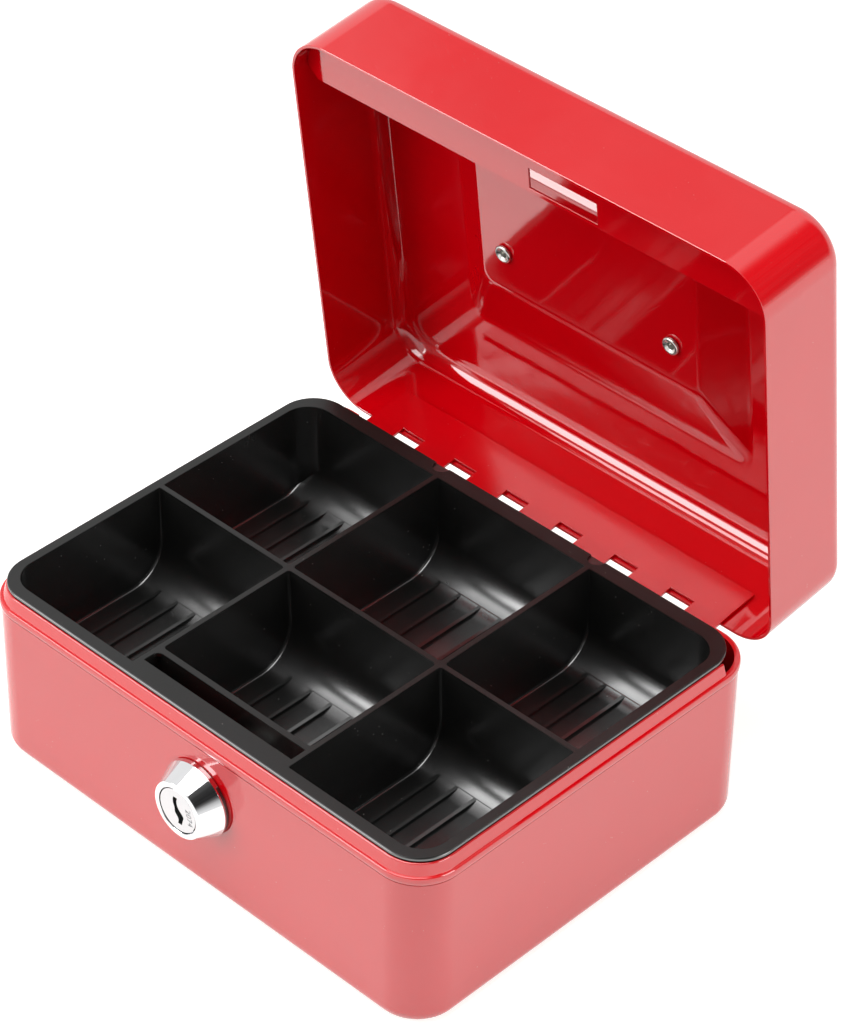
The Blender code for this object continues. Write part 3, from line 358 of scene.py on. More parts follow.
FINISHES = {
    "red_enamel": finish("red_enamel", (0.59, 0.0, 0.004), 0.05, ior=1.92, dull=0.04, tone=0.04, specks=0.25,
                         scratch=0.05, wave=(45, 1.0), pebble=(500, 0.02), bump=0.10),
    "hinge_enamel": finish("hinge_enamel", (0.60, 0.0, 0.004), 0.16, ior=1.9, dull=0.08, tone=0.10, specks=0.3,
                           scratch=0.20, wave=(120, 1.0), pebble=(900, 0.15), bump=0.015),
    "zinc_plated_steel": finish("zinc_plate", (0.62, 0.61, 0.58), 0.20, metallic=1.0, dull=0.15, tone=0.15,
                                scratch=0.6, wave=(200, 0.5), pebble=(2500, 0.3), bump=0.006),
    "chrome": finish("chrome", (0.80, 0.80, 0.81), 0.05, metallic=1.0, dull=0.04, tone=0.04, scratch=0.15,
                     wave=(90, 1.0), pebble=(1500, 0.05), bump=0.003),
    "satin_chrome": finish("satin_chrome", (0.60, 0.61, 0.62), 0.18, metallic=1.0, dull=0.05, tone=0.06,
                           scratch=0.4, wave=(90, 1.0), pebble=(1500, 0.2), bump=0.004),
    "brass": finish("brass", (0.72, 0.50, 0.20), 0.22, metallic=1.0, dull=0.12, tone=0.2, scratch=0.5,
                    wave=(200, 0.5), pebble=(2000, 0.3), bump=0.006),
    "black_plastic": finish("black_plastic", (0.0045, 0.0045, 0.0041), 0.21, ior=1.7, specular=1.0, dull=0.06,
                            tone=0.2, specks=0.5, scratch=0.25, wave=(70, 1.0), pebble=(2200, 0.25), bump=0.012,
                            matt_above=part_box("coin_tray")[1][2] - RIM_FACE_DEPTH),
}
print("finishes:", ", ".join(FINISHES))


# %% [markdown]
# Most pieces are one profile carried along or round something. A profile is a list of points, made from
# straight runs and arcs; a body is a stack of rings of equally many points, joined by quads. Everything is
# worked out as whole arrays, and a ring that shrinks to a point closes a pole.

# %% Solids from rings
POLE = 1e-7
SHARP_DEG = 32
SOFT_DEG = 50


def arc(centre, radius, start_deg, end_deg, steps):
    """Points on a circle's arc: centre plus radius times (cosine, sine) of evenly spaced angles."""
    a = np.radians(np.linspace(start_deg, end_deg, steps + 1))
    return np.stack([centre[0] + radius * np.cos(a), centre[1] + radius * np.sin(a)], axis=1)


def rounded(width, depth, radius, centre=(0.0, 0.0), steps=16):
    """A rectangle with round corners: four quarter arcs round the corner middles, joined by straight runs."""
    corners = [(1, 1, 0), (-1, 1, 90), (-1, -1, 180), (1, -1, 270)]
    return np.vstack([arc((centre[0] + sx * (width / 2 - radius), centre[1] + sy * (depth / 2 - radius)),
                          radius, start, start + 90, steps) for sx, sy, start in corners])


def level(points, z):
    """A flat ring: plane points given one height."""
    return np.column_stack([points, np.full(len(points), z)])


def ring_quads(rings, columns, wrapped):
    """Quads between neighbouring rings: each joins a point, the next in its ring, and the two above."""
    r = np.arange(rings if wrapped else rings - 1)[:, None]
    c = np.arange(columns)[None, :]
    above, after = (r + 1) % rings, (c + 1) % columns
    corners = [r * columns + c, r * columns + after, above * columns + after, above * columns + c]
    return np.stack(np.broadcast_arrays(*corners), axis=-1).reshape(-1, 4)


def mended(mesh):
    """Merge points that fall together, as at a pole, and turn all faces outward."""
    bm = bmesh.new()
    bm.from_mesh(mesh)
    bmesh.ops.remove_doubles(bm, verts=bm.verts, dist=POLE)
    bmesh.ops.recalc_face_normals(bm, faces=bm.faces)
    bm.to_mesh(mesh)
    bm.free()
    return mesh


def solid(name, rings, wrapped=False):
    """A closed body through rings (rings x points x 3), with flat ends unless the last ring meets the first."""
    rings = np.asarray(rings, dtype=float)
    count, columns = rings.shape[:2]
    faces = ring_quads(count, columns, wrapped).tolist()
    if not wrapped:
        faces += [list(range(columns)), list(range((count - 1) * columns, count * columns))]
    mesh = bpy.data.meshes.new(name)
    mesh.from_pydata(rings.reshape(-1, 3).tolist(), [], faces)
    return placed(name, mended(mesh))


def prism(name, points, axis, start, end):
    """Plane points pushed out along X, Y or Z from `start` to `end`."""
    order = {"X": (2, 0, 1), "Y": (0, 2, 1), "Z": (0, 1, 2)}[axis]
    return solid(name, [level(np.asarray(points), value)[:, order] for value in (start, end)])


def block(name, low, high):
    """A box between two corners."""
    corners = [(low[0], low[1]), (high[0], low[1]), (high[0], high[1]), (low[0], high[1])]
    return prism(name, corners, "Z", low[2], high[2])


def turned(name, profile, centre, axis="Y", steps=128):
    """A profile of (radius, distance) turned round an axis through `centre`: cosine and sine times the radius."""
    profile = np.asarray(profile, dtype=float)
    a = np.linspace(0, 2 * np.pi, steps, endpoint=False)
    across, up = np.outer(profile[:, 0], np.cos(a)), np.outer(profile[:, 0], np.sin(a))
    along = np.repeat(profile[:, 1:], steps, axis=1)
    order = {"X": (along, across, up), "Y": (across, along, up), "Z": (across, up, along)}[axis]
    return solid(name, np.stack(order, axis=-1) + np.asarray(centre), wrapped=profile[0, 0] > 0)


def swept(name, path, radius, steps=32):
    """A round rod along a flat path of (x, y): at each point a circle in the plane of the normal and Z."""
    path = np.asarray(path, dtype=float)
    tangent = np.gradient(path, axis=0)
    tangent /= np.linalg.norm(tangent, axis=1, keepdims=True)
    normal = np.column_stack([-tangent[:, 1], tangent[:, 0], np.zeros(len(path))])
    a = np.linspace(0, 2 * np.pi, steps, endpoint=False)
    radius = np.broadcast_to(radius, len(path))[:, None, None]
    circle = np.cos(a)[None, :, None] * normal[:, None, :] + np.sin(a)[None, :, None] * np.array([0, 0, 1.0])
    return solid(name, level(path, 0.0)[:, None, :] + radius * circle)


def evaluated_mesh(piece):
    """What a piece looks like with its modifiers applied, as a new mesh."""
    bpy.context.view_layer.update()
    return bpy.data.meshes.new_from_object(piece.evaluated_get(bpy.context.evaluated_depsgraph_get()))


def cut(piece, tool, operation="DIFFERENCE"):
    """Cut, join or keep what `piece` shares with `tool`, exactly, and throw the tool away."""
    step = piece.modifiers.new("cut", "BOOLEAN")
    step.operation = operation
    step.solver = "EXACT"
    step.object = tool
    result = evaluated_mesh(piece)
    piece.modifiers.clear()
    piece.data = result
    bpy.data.objects.remove(tool)
    return piece


def dress(piece, *nodes, soften=0.0, segments=2, angle=SHARP_DEG, look=None):
    """Give a piece the finish named by its nodes' slot and the body of the nodes it stands for, and hide those
    nodes; `soften` rounds its hard edges, which are those that turn by more than `angle`. `look` names another
    finish than the slot's own."""
    mesh = piece.data
    slot = SLOT_OF[nodes[0]]
    mesh.materials.clear()
    mesh.materials.append(FINISHES[look or slot])
    mesh.shade_smooth()
    if soften:
        edge = piece.modifiers.new("soft_edges", "BEVEL")
        edge.width = soften
        edge.segments = segments
        edge.limit_method = "ANGLE"
        edge.angle_limit = math.radians(angle)
    else:
        mesh.set_sharp_from_angle(angle=math.radians(angle))
    even = piece.modifiers.new("flat_faces", "WEIGHTED_NORMAL")
    even.keep_sharp = True
    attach(piece, BODY_OF[nodes[0]])
    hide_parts(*nodes)
    print(f"{piece.name}: {len(mesh.polygons)} faces for {', '.join(nodes)}")
    return piece


# %% [markdown]
# The case is pressed from one thickness of sheet. The base, the lid and the bead between them share one
# rounded outline, which moves inwards by an inset as the profile climbs. The outline's size is the base's own
# box. The lid is drawn closed, where its outline is the same, and then turned back on the hinge.

# %% Case sizes
SHEET = 0.8 * MM
CORNER_RADIUS = 12.2 * MM
BEAD_PROUD = 0.4 * MM
BEAD_HEIGHT = 2.3 * MM
CREASE = 0.25 * MM
BASE_EDGE_RADIUS = 4.0 * MM
LIP_HEIGHT = 3.0 * MM
LIP_INSET = SHEET + 1.0 * MM
LIP_FOOT_INSET = SHEET + 0.05 * MM
LID_HEIGHT = 27.7 * MM
LID_EDGE_RADIUS = 4.4 * MM
LID_FILLET_RADIUS = 5.0 * MM
GAP = 0.3 * MM

base_low, base_high = (np.array(corner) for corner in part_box("base_shell"))
CASE_WIDTH, CASE_DEPTH = (base_high - base_low)[:2]
LIP_TOP_Z = base_high[2]
SHOULDER_Z = LIP_TOP_Z - LIP_HEIGHT
FRONT_Y = -CASE_DEPTH / 2 + BEAD_PROUD
LID_RIM_Z = SHOULDER_Z + GAP
LID_TOP_Z = LID_RIM_Z + LID_HEIGHT
HINGE = Vector(JOINTS["lid_hinge"]["pos_m"])
OPEN_TURN = -math.radians(JOINTS["lid_hinge"]["range_deg"][1])
TO_REST = Matrix.Translation(HINGE) @ Matrix.Rotation(OPEN_TURN, 4, "X") @ Matrix.Translation(-HINGE)


def case_ring(inset, z):
    """The case's outline moved inwards by `inset`, at one height."""
    return level(rounded(CASE_WIDTH - 2 * inset, CASE_DEPTH - 2 * inset, CORNER_RADIUS - inset), z)


def case_rings(profile):
    """One outline ring for each (inset, height) of a profile."""
    return np.stack([case_ring(inset, z) for inset, z in profile])


print("case:", round(CASE_WIDTH / MM, 1), "x", round(CASE_DEPTH / MM, 1), "mm, lip at", round(LIP_TOP_Z / MM, 1))

# %% [markdown]
# The base is a drawn tub. Its wall rises straight from a round foot to a bead that the press leaves below the
# shoulder, where the lid's rim lands. A fine crease marks the bead's lower edge. From the shoulder a lip leans
# inwards and carries the tray. One profile makes the outside and, one sheet further in, the inside. The lip
# stops short of the hinge side, where a notch lets the knuckles through. A flatted hole takes the lock.

# %% Base
BEND_STEPS = 14
CUT_CLEAR = 5 * MM
BARREL_RADIUS = 8.0 * MM
BARREL_FLAT = 6.9 * MM
HINGE_NOTCH_HALF = 61.5 * MM
ROLL_INNER = 1.2 * MM
ROLL_OUTER = ROLL_INNER + 0.7 * MM
LOCK_X, _, LOCK_Z = JOINTS["lock_turn"]["pos_m"]


def base_profile():
    """Outside from the flat bottom up to the lip, over it, and down the inside to the floor of the tub."""
    wall, radius = BEAD_PROUD, BASE_EDGE_RADIUS
    foot = arc((wall + radius, radius), radius, 270, 180, BEND_STEPS)
    a = np.radians(np.linspace(-90, 90, BEND_STEPS + 1))
    middle = SHOULDER_Z - BEAD_HEIGHT / 2
    bead = np.column_stack([wall * (1 - np.cos(a)), middle + BEAD_HEIGHT / 2 * np.sin(a)])
    low = middle - BEAD_HEIGHT / 2
    crease = [(wall, low - CREASE), (wall + CREASE, low - CREASE), (wall + CREASE, low)]
    lip = arc((LIP_INSET + SHEET / 2, LIP_TOP_Z - SHEET / 2), SHEET / 2, 180, 0, 10)
    inside = [(LIP_FOOT_INSET + SHEET, SHOULDER_Z), (wall + SHEET, SHOULDER_Z - 1.5 * SHEET)]
    heel = arc((wall + radius, radius), radius - SHEET, 180, 270, BEND_STEPS)
    return np.vstack([foot, crease, bead, [(LIP_FOOT_INSET, SHOULDER_Z)], lip, inside, heel])


def barrel_outline(clearance):
    """A circle with two flats that stop the lock from turning in its hole."""
    radius, flat = BARREL_RADIUS + clearance, BARREL_FLAT + clearance
    bow = math.degrees(math.acos(flat / radius))
    centre = (LOCK_X, LOCK_Z)
    return np.vstack([arc(centre, radius, bow, 180 - bow, 32), arc(centre, radius, 180 + bow, 360 - bow, 32)])


base = solid("base", case_rings(base_profile()))
lip_end = CASE_DEPTH / 2 - CORNER_RADIUS
cut(base, block("lip_ends", (-CASE_WIDTH, lip_end, SHOULDER_Z), (CASE_WIDTH, CASE_DEPTH, 2 * LIP_TOP_Z)))
notch_low = (-HINGE_NOTCH_HALF, HINGE.y - 2 * ROLL_OUTER, HINGE.z - ROLL_OUTER - 2 * GAP)
cut(base, block("hinge_notch", notch_low, (HINGE_NOTCH_HALF, CASE_DEPTH, LIP_TOP_Z)))
cut(base, prism("lock_hole", barrel_outline(GAP), "Y", FRONT_Y - CUT_CLEAR, FRONT_Y + CUT_CLEAR))
dress(base, "base_shell")

# %% [markdown]
# The lid is a shallow tub upside down, with a sunk bed in its top where the handle folds away. The bed's
# sides slope, so its outline shrinks while it sinks, easing in and out along a smooth curve. The skin is one
# stack of rings: up the inside of the bed, over the round edge to the rim, and back along the outside.

# %% Lid
RECESS_DEPTH = 5.9 * MM
# width, depth, corner radius and middle of the bed's outline, at the top plate and at its floor
RECESS_FOOT = (96.0 * MM, 73.2 * MM, 5.0 * MM, (0, -2.1 * MM))
RECESS_FLOOR = (70.6 * MM, 39.2 * MM, 3.0 * MM, (0, -9.1 * MM))
RECESS_EASE = 0.12
RECESS_ROWS = 40
RECESS_Z = LID_TOP_Z - RECESS_DEPTH
RIVET_X = 27.8 * MM
RIVET_Y = -0.5 * MM
RIVET_RADIUS = 1.7 * MM


def recess_rings(drop):
    """Rings from the top plate down to the bed: the outline slides evenly, the depth eases at both ends."""
    foot, bed = rounded(*RECESS_FOOT), rounded(*RECESS_FLOOR)
    share = np.linspace(0, 1, RECESS_ROWS)
    rise = np.minimum(share, 1 - share)
    eased = np.where(rise < RECESS_EASE, rise * rise / (2 * RECESS_EASE), rise - RECESS_EASE / 2)
    eased /= 1 - RECESS_EASE
    fall = np.where(share < 0.5, eased, 1 - eased)
    flat = foot + (bed - foot) * share[:, None, None]
    heights = LID_TOP_Z - drop - RECESS_DEPTH * fall
    return np.concatenate([flat, np.broadcast_to(heights[:, None, None], (*flat.shape[:2], 1))], axis=2)


def lid_rings():
    """Bed, top plate, round edge and wall outside; then rim, wall, edge, plate and bed inside."""
    radius, fillet, chamfer = LID_EDGE_RADIUS, LID_FILLET_RADIUS, SHEET / 8
    outside = np.vstack([[(0, LID_RIM_Z + chamfer)], arc((radius, LID_TOP_Z - radius), radius, 180, 90, 16)])
    rim = [(chamfer, LID_RIM_Z), (SHEET - chamfer, LID_RIM_Z), (SHEET, LID_RIM_Z + chamfer)]
    inside = np.vstack([rim, arc((SHEET + fillet, LID_TOP_Z - SHEET - fillet), fillet, 180, 90, 16)])
    shells = [recess_rings(0.0)[::-1], case_rings(outside)[::-1], case_rings(inside), recess_rings(SHEET)]
    return np.concatenate(shells)


def rivet_hole(side, low, high):
    """The round tool that cuts a rivet's hole from one height to another."""
    wall = RIVET_RADIUS + GAP
    tool = [(0, low), (wall, low), (wall, high), (0, high)]
    return turned("rivet_hole", tool, (side * RIVET_X, RIVET_Y, 0), "Z", 48)


lid = solid("lid", lid_rings())
for side in (-1, 1):
    cut(lid, rivet_hole(side, RECESS_Z - CUT_CLEAR, RECESS_Z + CUT_CLEAR))
lid.data.transform(TO_REST)
dress(lid, "lid_shell")

# %% [markdown]
# The piano hinge is two strips, each rolled round the pin. The lid's strip has windows where the base's
# knuckles sit, and the base's strip has gaps where the lid's knuckles turn. The rolled outline is two arcs one
# sheet apart, pushed out along the hinge, and the windows are cut afterwards, as a press tool would.

# %% Hinge
LEAF_LENGTH = 120.0 * MM
LID_LEAF_HEIGHT = 12.2 * MM
BASE_LEAF_DROP = 12.0 * MM
KNUCKLES = 6
KNUCKLE_PITCH = 18.55 * MM
WINDOW = 7.8 * MM
WINDOW_ABOVE_RIM = 1.0 * MM
SIDE_PLAY = 0.4 * MM
ROLL_TURN_DEG = 300
PIN_RADIUS = 1.0 * MM
PIN_HEAD_RADIUS = 1.5 * MM
LEAF_SOFT = 0.08 * MM
knuckle_xs = (np.arange(KNUCKLES) - (KNUCKLES - 1) / 2) * KNUCKLE_PITCH


def rolled(flat, inner, sheet, turn_deg, steps=44):
    """A strip along -V whose end rolls round the origin: an outer arc there and an inner arc back."""
    outer, end = inner + sheet, 180 - turn_deg
    return np.vstack([[(-outer, -flat)], arc((0, 0), outer, 180, end, steps), arc((0, 0), inner, end, 180, steps),
                      [(-inner, -flat)]])


strip = rolled(LID_LEAF_HEIGHT + LID_RIM_Z - HINGE.z, ROLL_INNER, ROLL_OUTER - ROLL_INNER, ROLL_TURN_DEG)
strip = np.array([HINGE.y, HINGE.z]) + strip * (1, -1)
lid_leaf = prism("lid_leaf", strip, "X", -LEAF_LENGTH / 2, LEAF_LENGTH / 2)
for x in knuckle_xs:
    low = (x - WINDOW / 2, HINGE.y - CUT_CLEAR, HINGE.z - CUT_CLEAR)
    cut(lid_leaf, block("window", low, (x + WINDOW / 2, HINGE.y + CUT_CLEAR, LID_RIM_Z + WINDOW_ABOVE_RIM)))
lid_leaf.data.transform(TO_REST)
dress(lid_leaf, "lid_hinge_leaf", soften=LEAF_SOFT, angle=SOFT_DEG)

# below its roll the base's strip steps in by the bead's overhang, to lie along the wall
notch_z = notch_low[2] - HINGE.z
strip = rolled(-notch_z - 2 * BEAD_PROUD, ROLL_INNER, ROLL_OUTER - ROLL_INNER, ROLL_TURN_DEG)
outer, inner = -ROLL_OUTER - BEAD_PROUD, -ROLL_INNER - BEAD_PROUD
strip = np.vstack([[(outer, -BASE_LEAF_DROP), (outer, notch_z)], strip,
                   [(inner, notch_z), (inner, -BASE_LEAF_DROP)]])
reach = LEAF_LENGTH / 2 - SIDE_PLAY
base_leaf = prism("base_leaf", strip + (HINGE.y, HINGE.z), "X", -reach, reach)
knuckle = WINDOW / 2 - SIDE_PLAY
starts = np.concatenate([[-LEAF_LENGTH], knuckle_xs + knuckle])
ends = np.concatenate([knuckle_xs - knuckle, [LEAF_LENGTH]])
for start, end in zip(starts, ends):
    cut(base_leaf, block("gap", (start, HINGE.y - CUT_CLEAR, notch_low[2]), (end, HINGE.y + CUT_CLEAR, LID_TOP_Z)))
dress(base_leaf, "base_hinge_leaf", soften=LEAF_SOFT, angle=SOFT_DEG)

half, head = LEAF_LENGTH / 2 + GAP, PIN_HEAD_RADIUS / 2
pin_end = np.vstack([[(0, half + head)], arc((PIN_HEAD_RADIUS - head, half), head, 90, 0, 8), [(PIN_RADIUS, half)]])
pin = turned("pin", np.vstack([pin_end, pin_end[::-1] * (1, -1)]), (0, HINGE.y, HINGE.z), "X", 40)
dress(pin, "hinge_pin")

# %% [markdown]
# Inside the lid's front edge runs an angle strip that the lock's hook catches. It follows the lid's rounded
# corners, has a short turned-down leg for stiffness, and a window that the hook comes up through.

# %% Lock rail
RAIL_SHEET = 0.6 * MM
RAIL_WIDTH = 14.4 * MM
RAIL_CHAMFER = 3.0 * MM
RAIL_WINDOW = (21.6 * MM, 6.0 * MM)
RAIL_WINDOW_FRONT = -51.1 * MM
RAIL_ABOVE_LIP = 1.8 * MM
RAIL_SOFT = 0.12 * MM
CAM_ARM = 5.2 * MM
CAM_PLAY = 0.5 * MM
rail_z = LIP_TOP_Z + RAIL_ABOVE_LIP
rail_front = -CASE_DEPTH / 2 + SHEET + GAP
rail_back = rail_front + RAIL_WIDTH
corner = (CASE_WIDTH / 2 - CORNER_RADIUS, -CASE_DEPTH / 2 + CORNER_RADIUS)
reach = CORNER_RADIUS - SHEET - GAP
side = corner[0] + reach
chamfer = [(side, rail_back - RAIL_CHAMFER), (side - RAIL_CHAMFER, rail_back)]
right = np.vstack([arc(corner, reach, 270, 360, 24), chamfer])
outline = np.vstack([right, right[::-1] * (-1, 1)])
rail = prism("lock_rail", outline, "Z", rail_z, rail_z + RAIL_SHEET)
leg_low = (-corner[0], rail_front, LIP_TOP_Z + GAP)
cut(rail, block("leg", leg_low, (corner[0], rail_front + RAIL_SHEET, rail_z + RAIL_SHEET / 2)), "UNION")
near = (LOCK_X - CAM_ARM / 2 - CAM_PLAY, RAIL_WINDOW_FRONT)
far = (near[0] + RAIL_WINDOW[0], near[1] + RAIL_WINDOW[1])
cut(rail, block("rail_window", (*near, rail_z - CUT_CLEAR), (*far, rail_z + CUT_CLEAR)))
rail.data.transform(TO_REST)
dress(rail, "lid_lock_rail", soften=RAIL_SOFT, angle=SOFT_DEG)


# %% [markdown]
# The lock is a chromed collar on the front wall. A cone runs from its wide foot to a flat face ring with a
# rounded edge, so each band of the collar mirrors another part of the room. A thin skirt covers the ring
# behind it. The collar is one turned profile that goes on behind the wall as a barrel. The barrel's flats,
# and the grooves in its bore that the wafers spring out into, are cut afterwards.

# %% Lock collar
COLLAR_RADIUS = 10.5 * MM
COLLAR_FACE_RADIUS = 7.95 * MM
COLLAR_FACE_EDGE = 0.5 * MM
COLLAR_RIM = 0.6 * MM
CONE_SLOPE_DEG = 65
PLUG_HEAD_RADIUS = 6.1 * MM
PLUG_HEAD_LENGTH = 3.6 * MM
PLUG_RADIUS = 5.4 * MM
PLUG_EDGE = 0.15 * MM
GASKET_PLAY = 0.05 * MM
GASKET_RADIUS = 10.25 * MM
GASKET_SOFT = 0.1 * MM
SKIRT = 0.18 * MM
WAFER_HALF = 2.8 * MM
GROOVE_REACH = 5.6 * MM
LOCK_AXIS = (LOCK_X, 0, LOCK_Z)
collar_y, barrel_end_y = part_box("lock_housing")[0][1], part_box("lock_housing")[1][1]
plug_y, plug_end_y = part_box("lock_plug")[0][1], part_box("lock_plug")[1][1]
collar_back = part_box("lock_ring")[0][1] - GAP
seat_y = plug_y + PLUG_HEAD_LENGTH + GAP


def collar_profile():
    """Bore, face, rounded face edge, cone, round foot, thin skirt over the gasket, back, barrel."""
    bore, step, edge, rim = PLUG_RADIUS + GAP, PLUG_HEAD_RADIUS + GAP, COLLAR_FACE_EDGE, COLLAR_RIM / 2
    slope = CONE_SLOPE_DEG - 90
    inner = [(bore, barrel_end_y), (bore, seat_y), (step, seat_y), (step, collar_y + PLUG_EDGE),
             (step + PLUG_EDGE, collar_y)]
    face = arc((COLLAR_FACE_RADIUS - edge, collar_y + edge), edge, -90, slope, 12)
    foot = arc((COLLAR_RADIUS - rim, collar_back - rim), rim, slope, 0, 6)
    skirt_end = FRONT_Y - GAP
    skirt = [(COLLAR_RADIUS, skirt_end), (COLLAR_RADIUS - SKIRT, skirt_end), (COLLAR_RADIUS - SKIRT, collar_back)]
    return np.vstack([inner, face, foot, skirt, [(BARREL_RADIUS, collar_back), (BARREL_RADIUS, barrel_end_y)]])


collar = turned("lock_collar", collar_profile(), LOCK_AXIS)
for near, far in ((-2 * BARREL_RADIUS, -BARREL_FLAT), (BARREL_FLAT, 2 * BARREL_RADIUS)):
    cut(collar, block("flat", (LOCK_X + near, collar_back, LOCK_Z - 2 * CUT_CLEAR),
                      (LOCK_X + far, 0, LOCK_Z + 2 * CUT_CLEAR)))
for wide, high in ((WAFER_HALF, GROOVE_REACH), (GROOVE_REACH, WAFER_HALF)):
    cut(collar, block("wafer_groove", (LOCK_X - wide, seat_y - GAP / 2, LOCK_Z - high),
                      (LOCK_X + wide, barrel_end_y + GAP, LOCK_Z + high)))
dress(collar, "lock_housing")

gasket_bore, front, back = BARREL_RADIUS + GAP, collar_back + GASKET_PLAY, FRONT_Y - GASKET_PLAY
gasket = [(gasket_bore, front), (GASKET_RADIUS, front), (GASKET_RADIUS, back), (gasket_bore, back)]
gasket = turned("lock_gasket", gasket, LOCK_AXIS)
dress(gasket, "lock_ring", soften=GASKET_SOFT, angle=SOFT_DEG)

# %% [markdown]
# The plug turns in the collar. Its satin face has a winding key slot and a small stamped number beside it.
# The slot follows its key's grooves: the centre line sways like a sine, and the width swells below the
# middle. A thin slice of text cuts the digits. Behind the head the body is slotted for the wafers, and a boss
# with a tapped hole takes the cam.

# %% Lock plug
KEYWAY_HEIGHT = 7.6 * MM
KEYWAY_WIDTH = 1.3 * MM
KEYWAY_SWAY = 0.95 * MM
KEYWAY_BELLY = 1.5 * MM
KEYWAY_WAVES = 0.75
KEYWAY_BELLY_LOW = 0.12
KEYWAY_BELLY_SPREAD = 0.1
WAFERS = 4
WAFER_PITCH = 1.9 * MM
WAFER_THICKNESS = 0.8 * MM
WAFER_PLAY = 0.25 * MM
BOSS = (6.0 * MM, 4.8 * MM)
SCREW_BORE = 1.9 * MM
SCREW_DEPTH = 3.5 * MM
KEY_NUMBER = "2074"
NUMBER_SIZE = 2.5 * MM
NUMBER_PLACE = 3.9 * MM
NUMBER_TURN_DEG = 80
NUMBER_DEPTH = 0.3 * MM


def keyway_outline():
    """Slot outline: the centre line sways like a sine, three quarters of a wave from top to bottom, and the
    width swells like a bell curve just below the middle."""
    share = np.linspace(-0.5, 0.5, 61)
    centre = -KEYWAY_SWAY * np.sin(2 * np.pi * KEYWAY_WAVES * share)
    bell = np.exp(-((share + KEYWAY_BELLY_LOW) / KEYWAY_BELLY_SPREAD) ** 2 / 2)
    half = (KEYWAY_WIDTH + KEYWAY_BELLY * bell) / 2
    right, left = ([*zip(centre + side * half, KEYWAY_HEIGHT * share)] for side in (1, -1))
    return np.vstack([right, left[::-1]]) + (LOCK_X, LOCK_Z)


def stamped(text, size, place, depth):
    """Text as a closed slice that faces -Y and reaches `depth` to both sides of its place."""
    curve = bpy.data.curves.new("number", "FONT")
    curve.body = text
    curve.size = size
    curve.extrude = depth
    curve.align_x = curve.align_y = "CENTER"
    holder = placed("number", curve)
    mesh = mended(evaluated_mesh(holder))
    bpy.data.objects.remove(holder)
    turn = Matrix.Rotation(math.radians(NUMBER_TURN_DEG), 4, "Y") @ Matrix.Rotation(math.pi / 2, 4, "X")
    mesh.transform(Matrix.Translation(place) @ turn)
    return placed("number", mesh)


body_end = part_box("lock_cam")[0][1] - GAP
face_edge = arc((PLUG_HEAD_RADIUS - PLUG_EDGE, plug_y + PLUG_EDGE), PLUG_EDGE, 270, 360, 6)
plug_body = [(PLUG_HEAD_RADIUS, seat_y - GAP), (PLUG_RADIUS, seat_y - GAP), (PLUG_RADIUS, body_end), (0, body_end)]
plug = turned("lock_core", np.vstack([[(0, plug_y)], face_edge, plug_body]), LOCK_AXIS)
cut(plug, block("boss", (LOCK_X - BOSS[0] / 2, body_end - GAP, LOCK_Z - BOSS[1] / 2),
                (LOCK_X + BOSS[0] / 2, plug_end_y, LOCK_Z + BOSS[1] / 2)), "UNION")
first_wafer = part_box("lock_wafer_1")[0][1]
for y in first_wafer + WAFER_PITCH * np.arange(WAFERS):
    low = (LOCK_X - WAFER_HALF, y - WAFER_PLAY, LOCK_Z - 2 * CUT_CLEAR)
    high = (LOCK_X + WAFER_HALF, y + WAFER_THICKNESS + WAFER_PLAY, LOCK_Z + 2 * CUT_CLEAR)
    cut(plug, block("wafer_slot", low, high))
keyway_end = first_wafer + WAFER_PITCH * (WAFERS - 1) + WAFER_THICKNESS + 2 * WAFER_PLAY
cut(plug, prism("keyway", keyway_outline(), "Y", plug_y - CUT_CLEAR, keyway_end))
screw_end = plug_end_y + GAP - SCREW_DEPTH
tapped = [(0, screw_end), (SCREW_BORE, screw_end), (SCREW_BORE, 0), (0, 0)]
cut(plug, turned("tapped_hole", tapped, LOCK_AXIS, steps=32))
cut(plug, stamped(KEY_NUMBER, NUMBER_SIZE, (LOCK_X + NUMBER_PLACE, plug_y, LOCK_Z), NUMBER_DEPTH))
dress(plug, "lock_plug", look="satin_chrome")

# %% [markdown]
# The small parts inside the lock are stamped or pressed. Their shapes are right as they are in the frame, but
# real sheet has slightly rounded edges that catch the light. A copy of each node is merged, its flat faces are
# made whole again, and a Bevel rounds the edges that are left.

# %% Small lock parts
FLAT_DEG = 1.0
SOFT_EDGES = {
    "lock_nut": ("clamping_nut", 0.30 * MM),
    "lock_cam": ("hooked_cam", 0.15 * MM),
    "cam_screw": ("cam_fixing", 0.12 * MM),
    **{f"lock_wafer_{k}": (f"wafer_{k}", 0.06 * MM) for k in range(1, WAFERS + 1)},
}


def softened(name, node, width):
    """A merged copy of a node's mesh with whole flat faces and its hard edges rounded by `width`."""
    mesh = NODES[node].data.copy()
    mesh.name = name
    bm = bmesh.new()
    bm.from_mesh(mesh)
    bmesh.ops.remove_doubles(bm, verts=bm.verts, dist=POLE)
    bmesh.ops.dissolve_limit(bm, angle_limit=math.radians(FLAT_DEG), verts=bm.verts, edges=bm.edges)
    bm.to_mesh(mesh)
    bm.free()
    return dress(placed(name, mesh), node, soften=width, angle=SOFT_DEG)


for node, (name, width) in SOFT_EDGES.items():
    softened(name, node, width)

# %% [markdown]
# The handle is a bent rod that folds into the bed. Its path is a flat line of straight runs and bends with
# both ends turned in, and a circle is carried along it; near the ends the circle shrinks along a quarter
# round, so they are softened. Each end sits in a saddle rolled from strip and held by a tubular rivet.

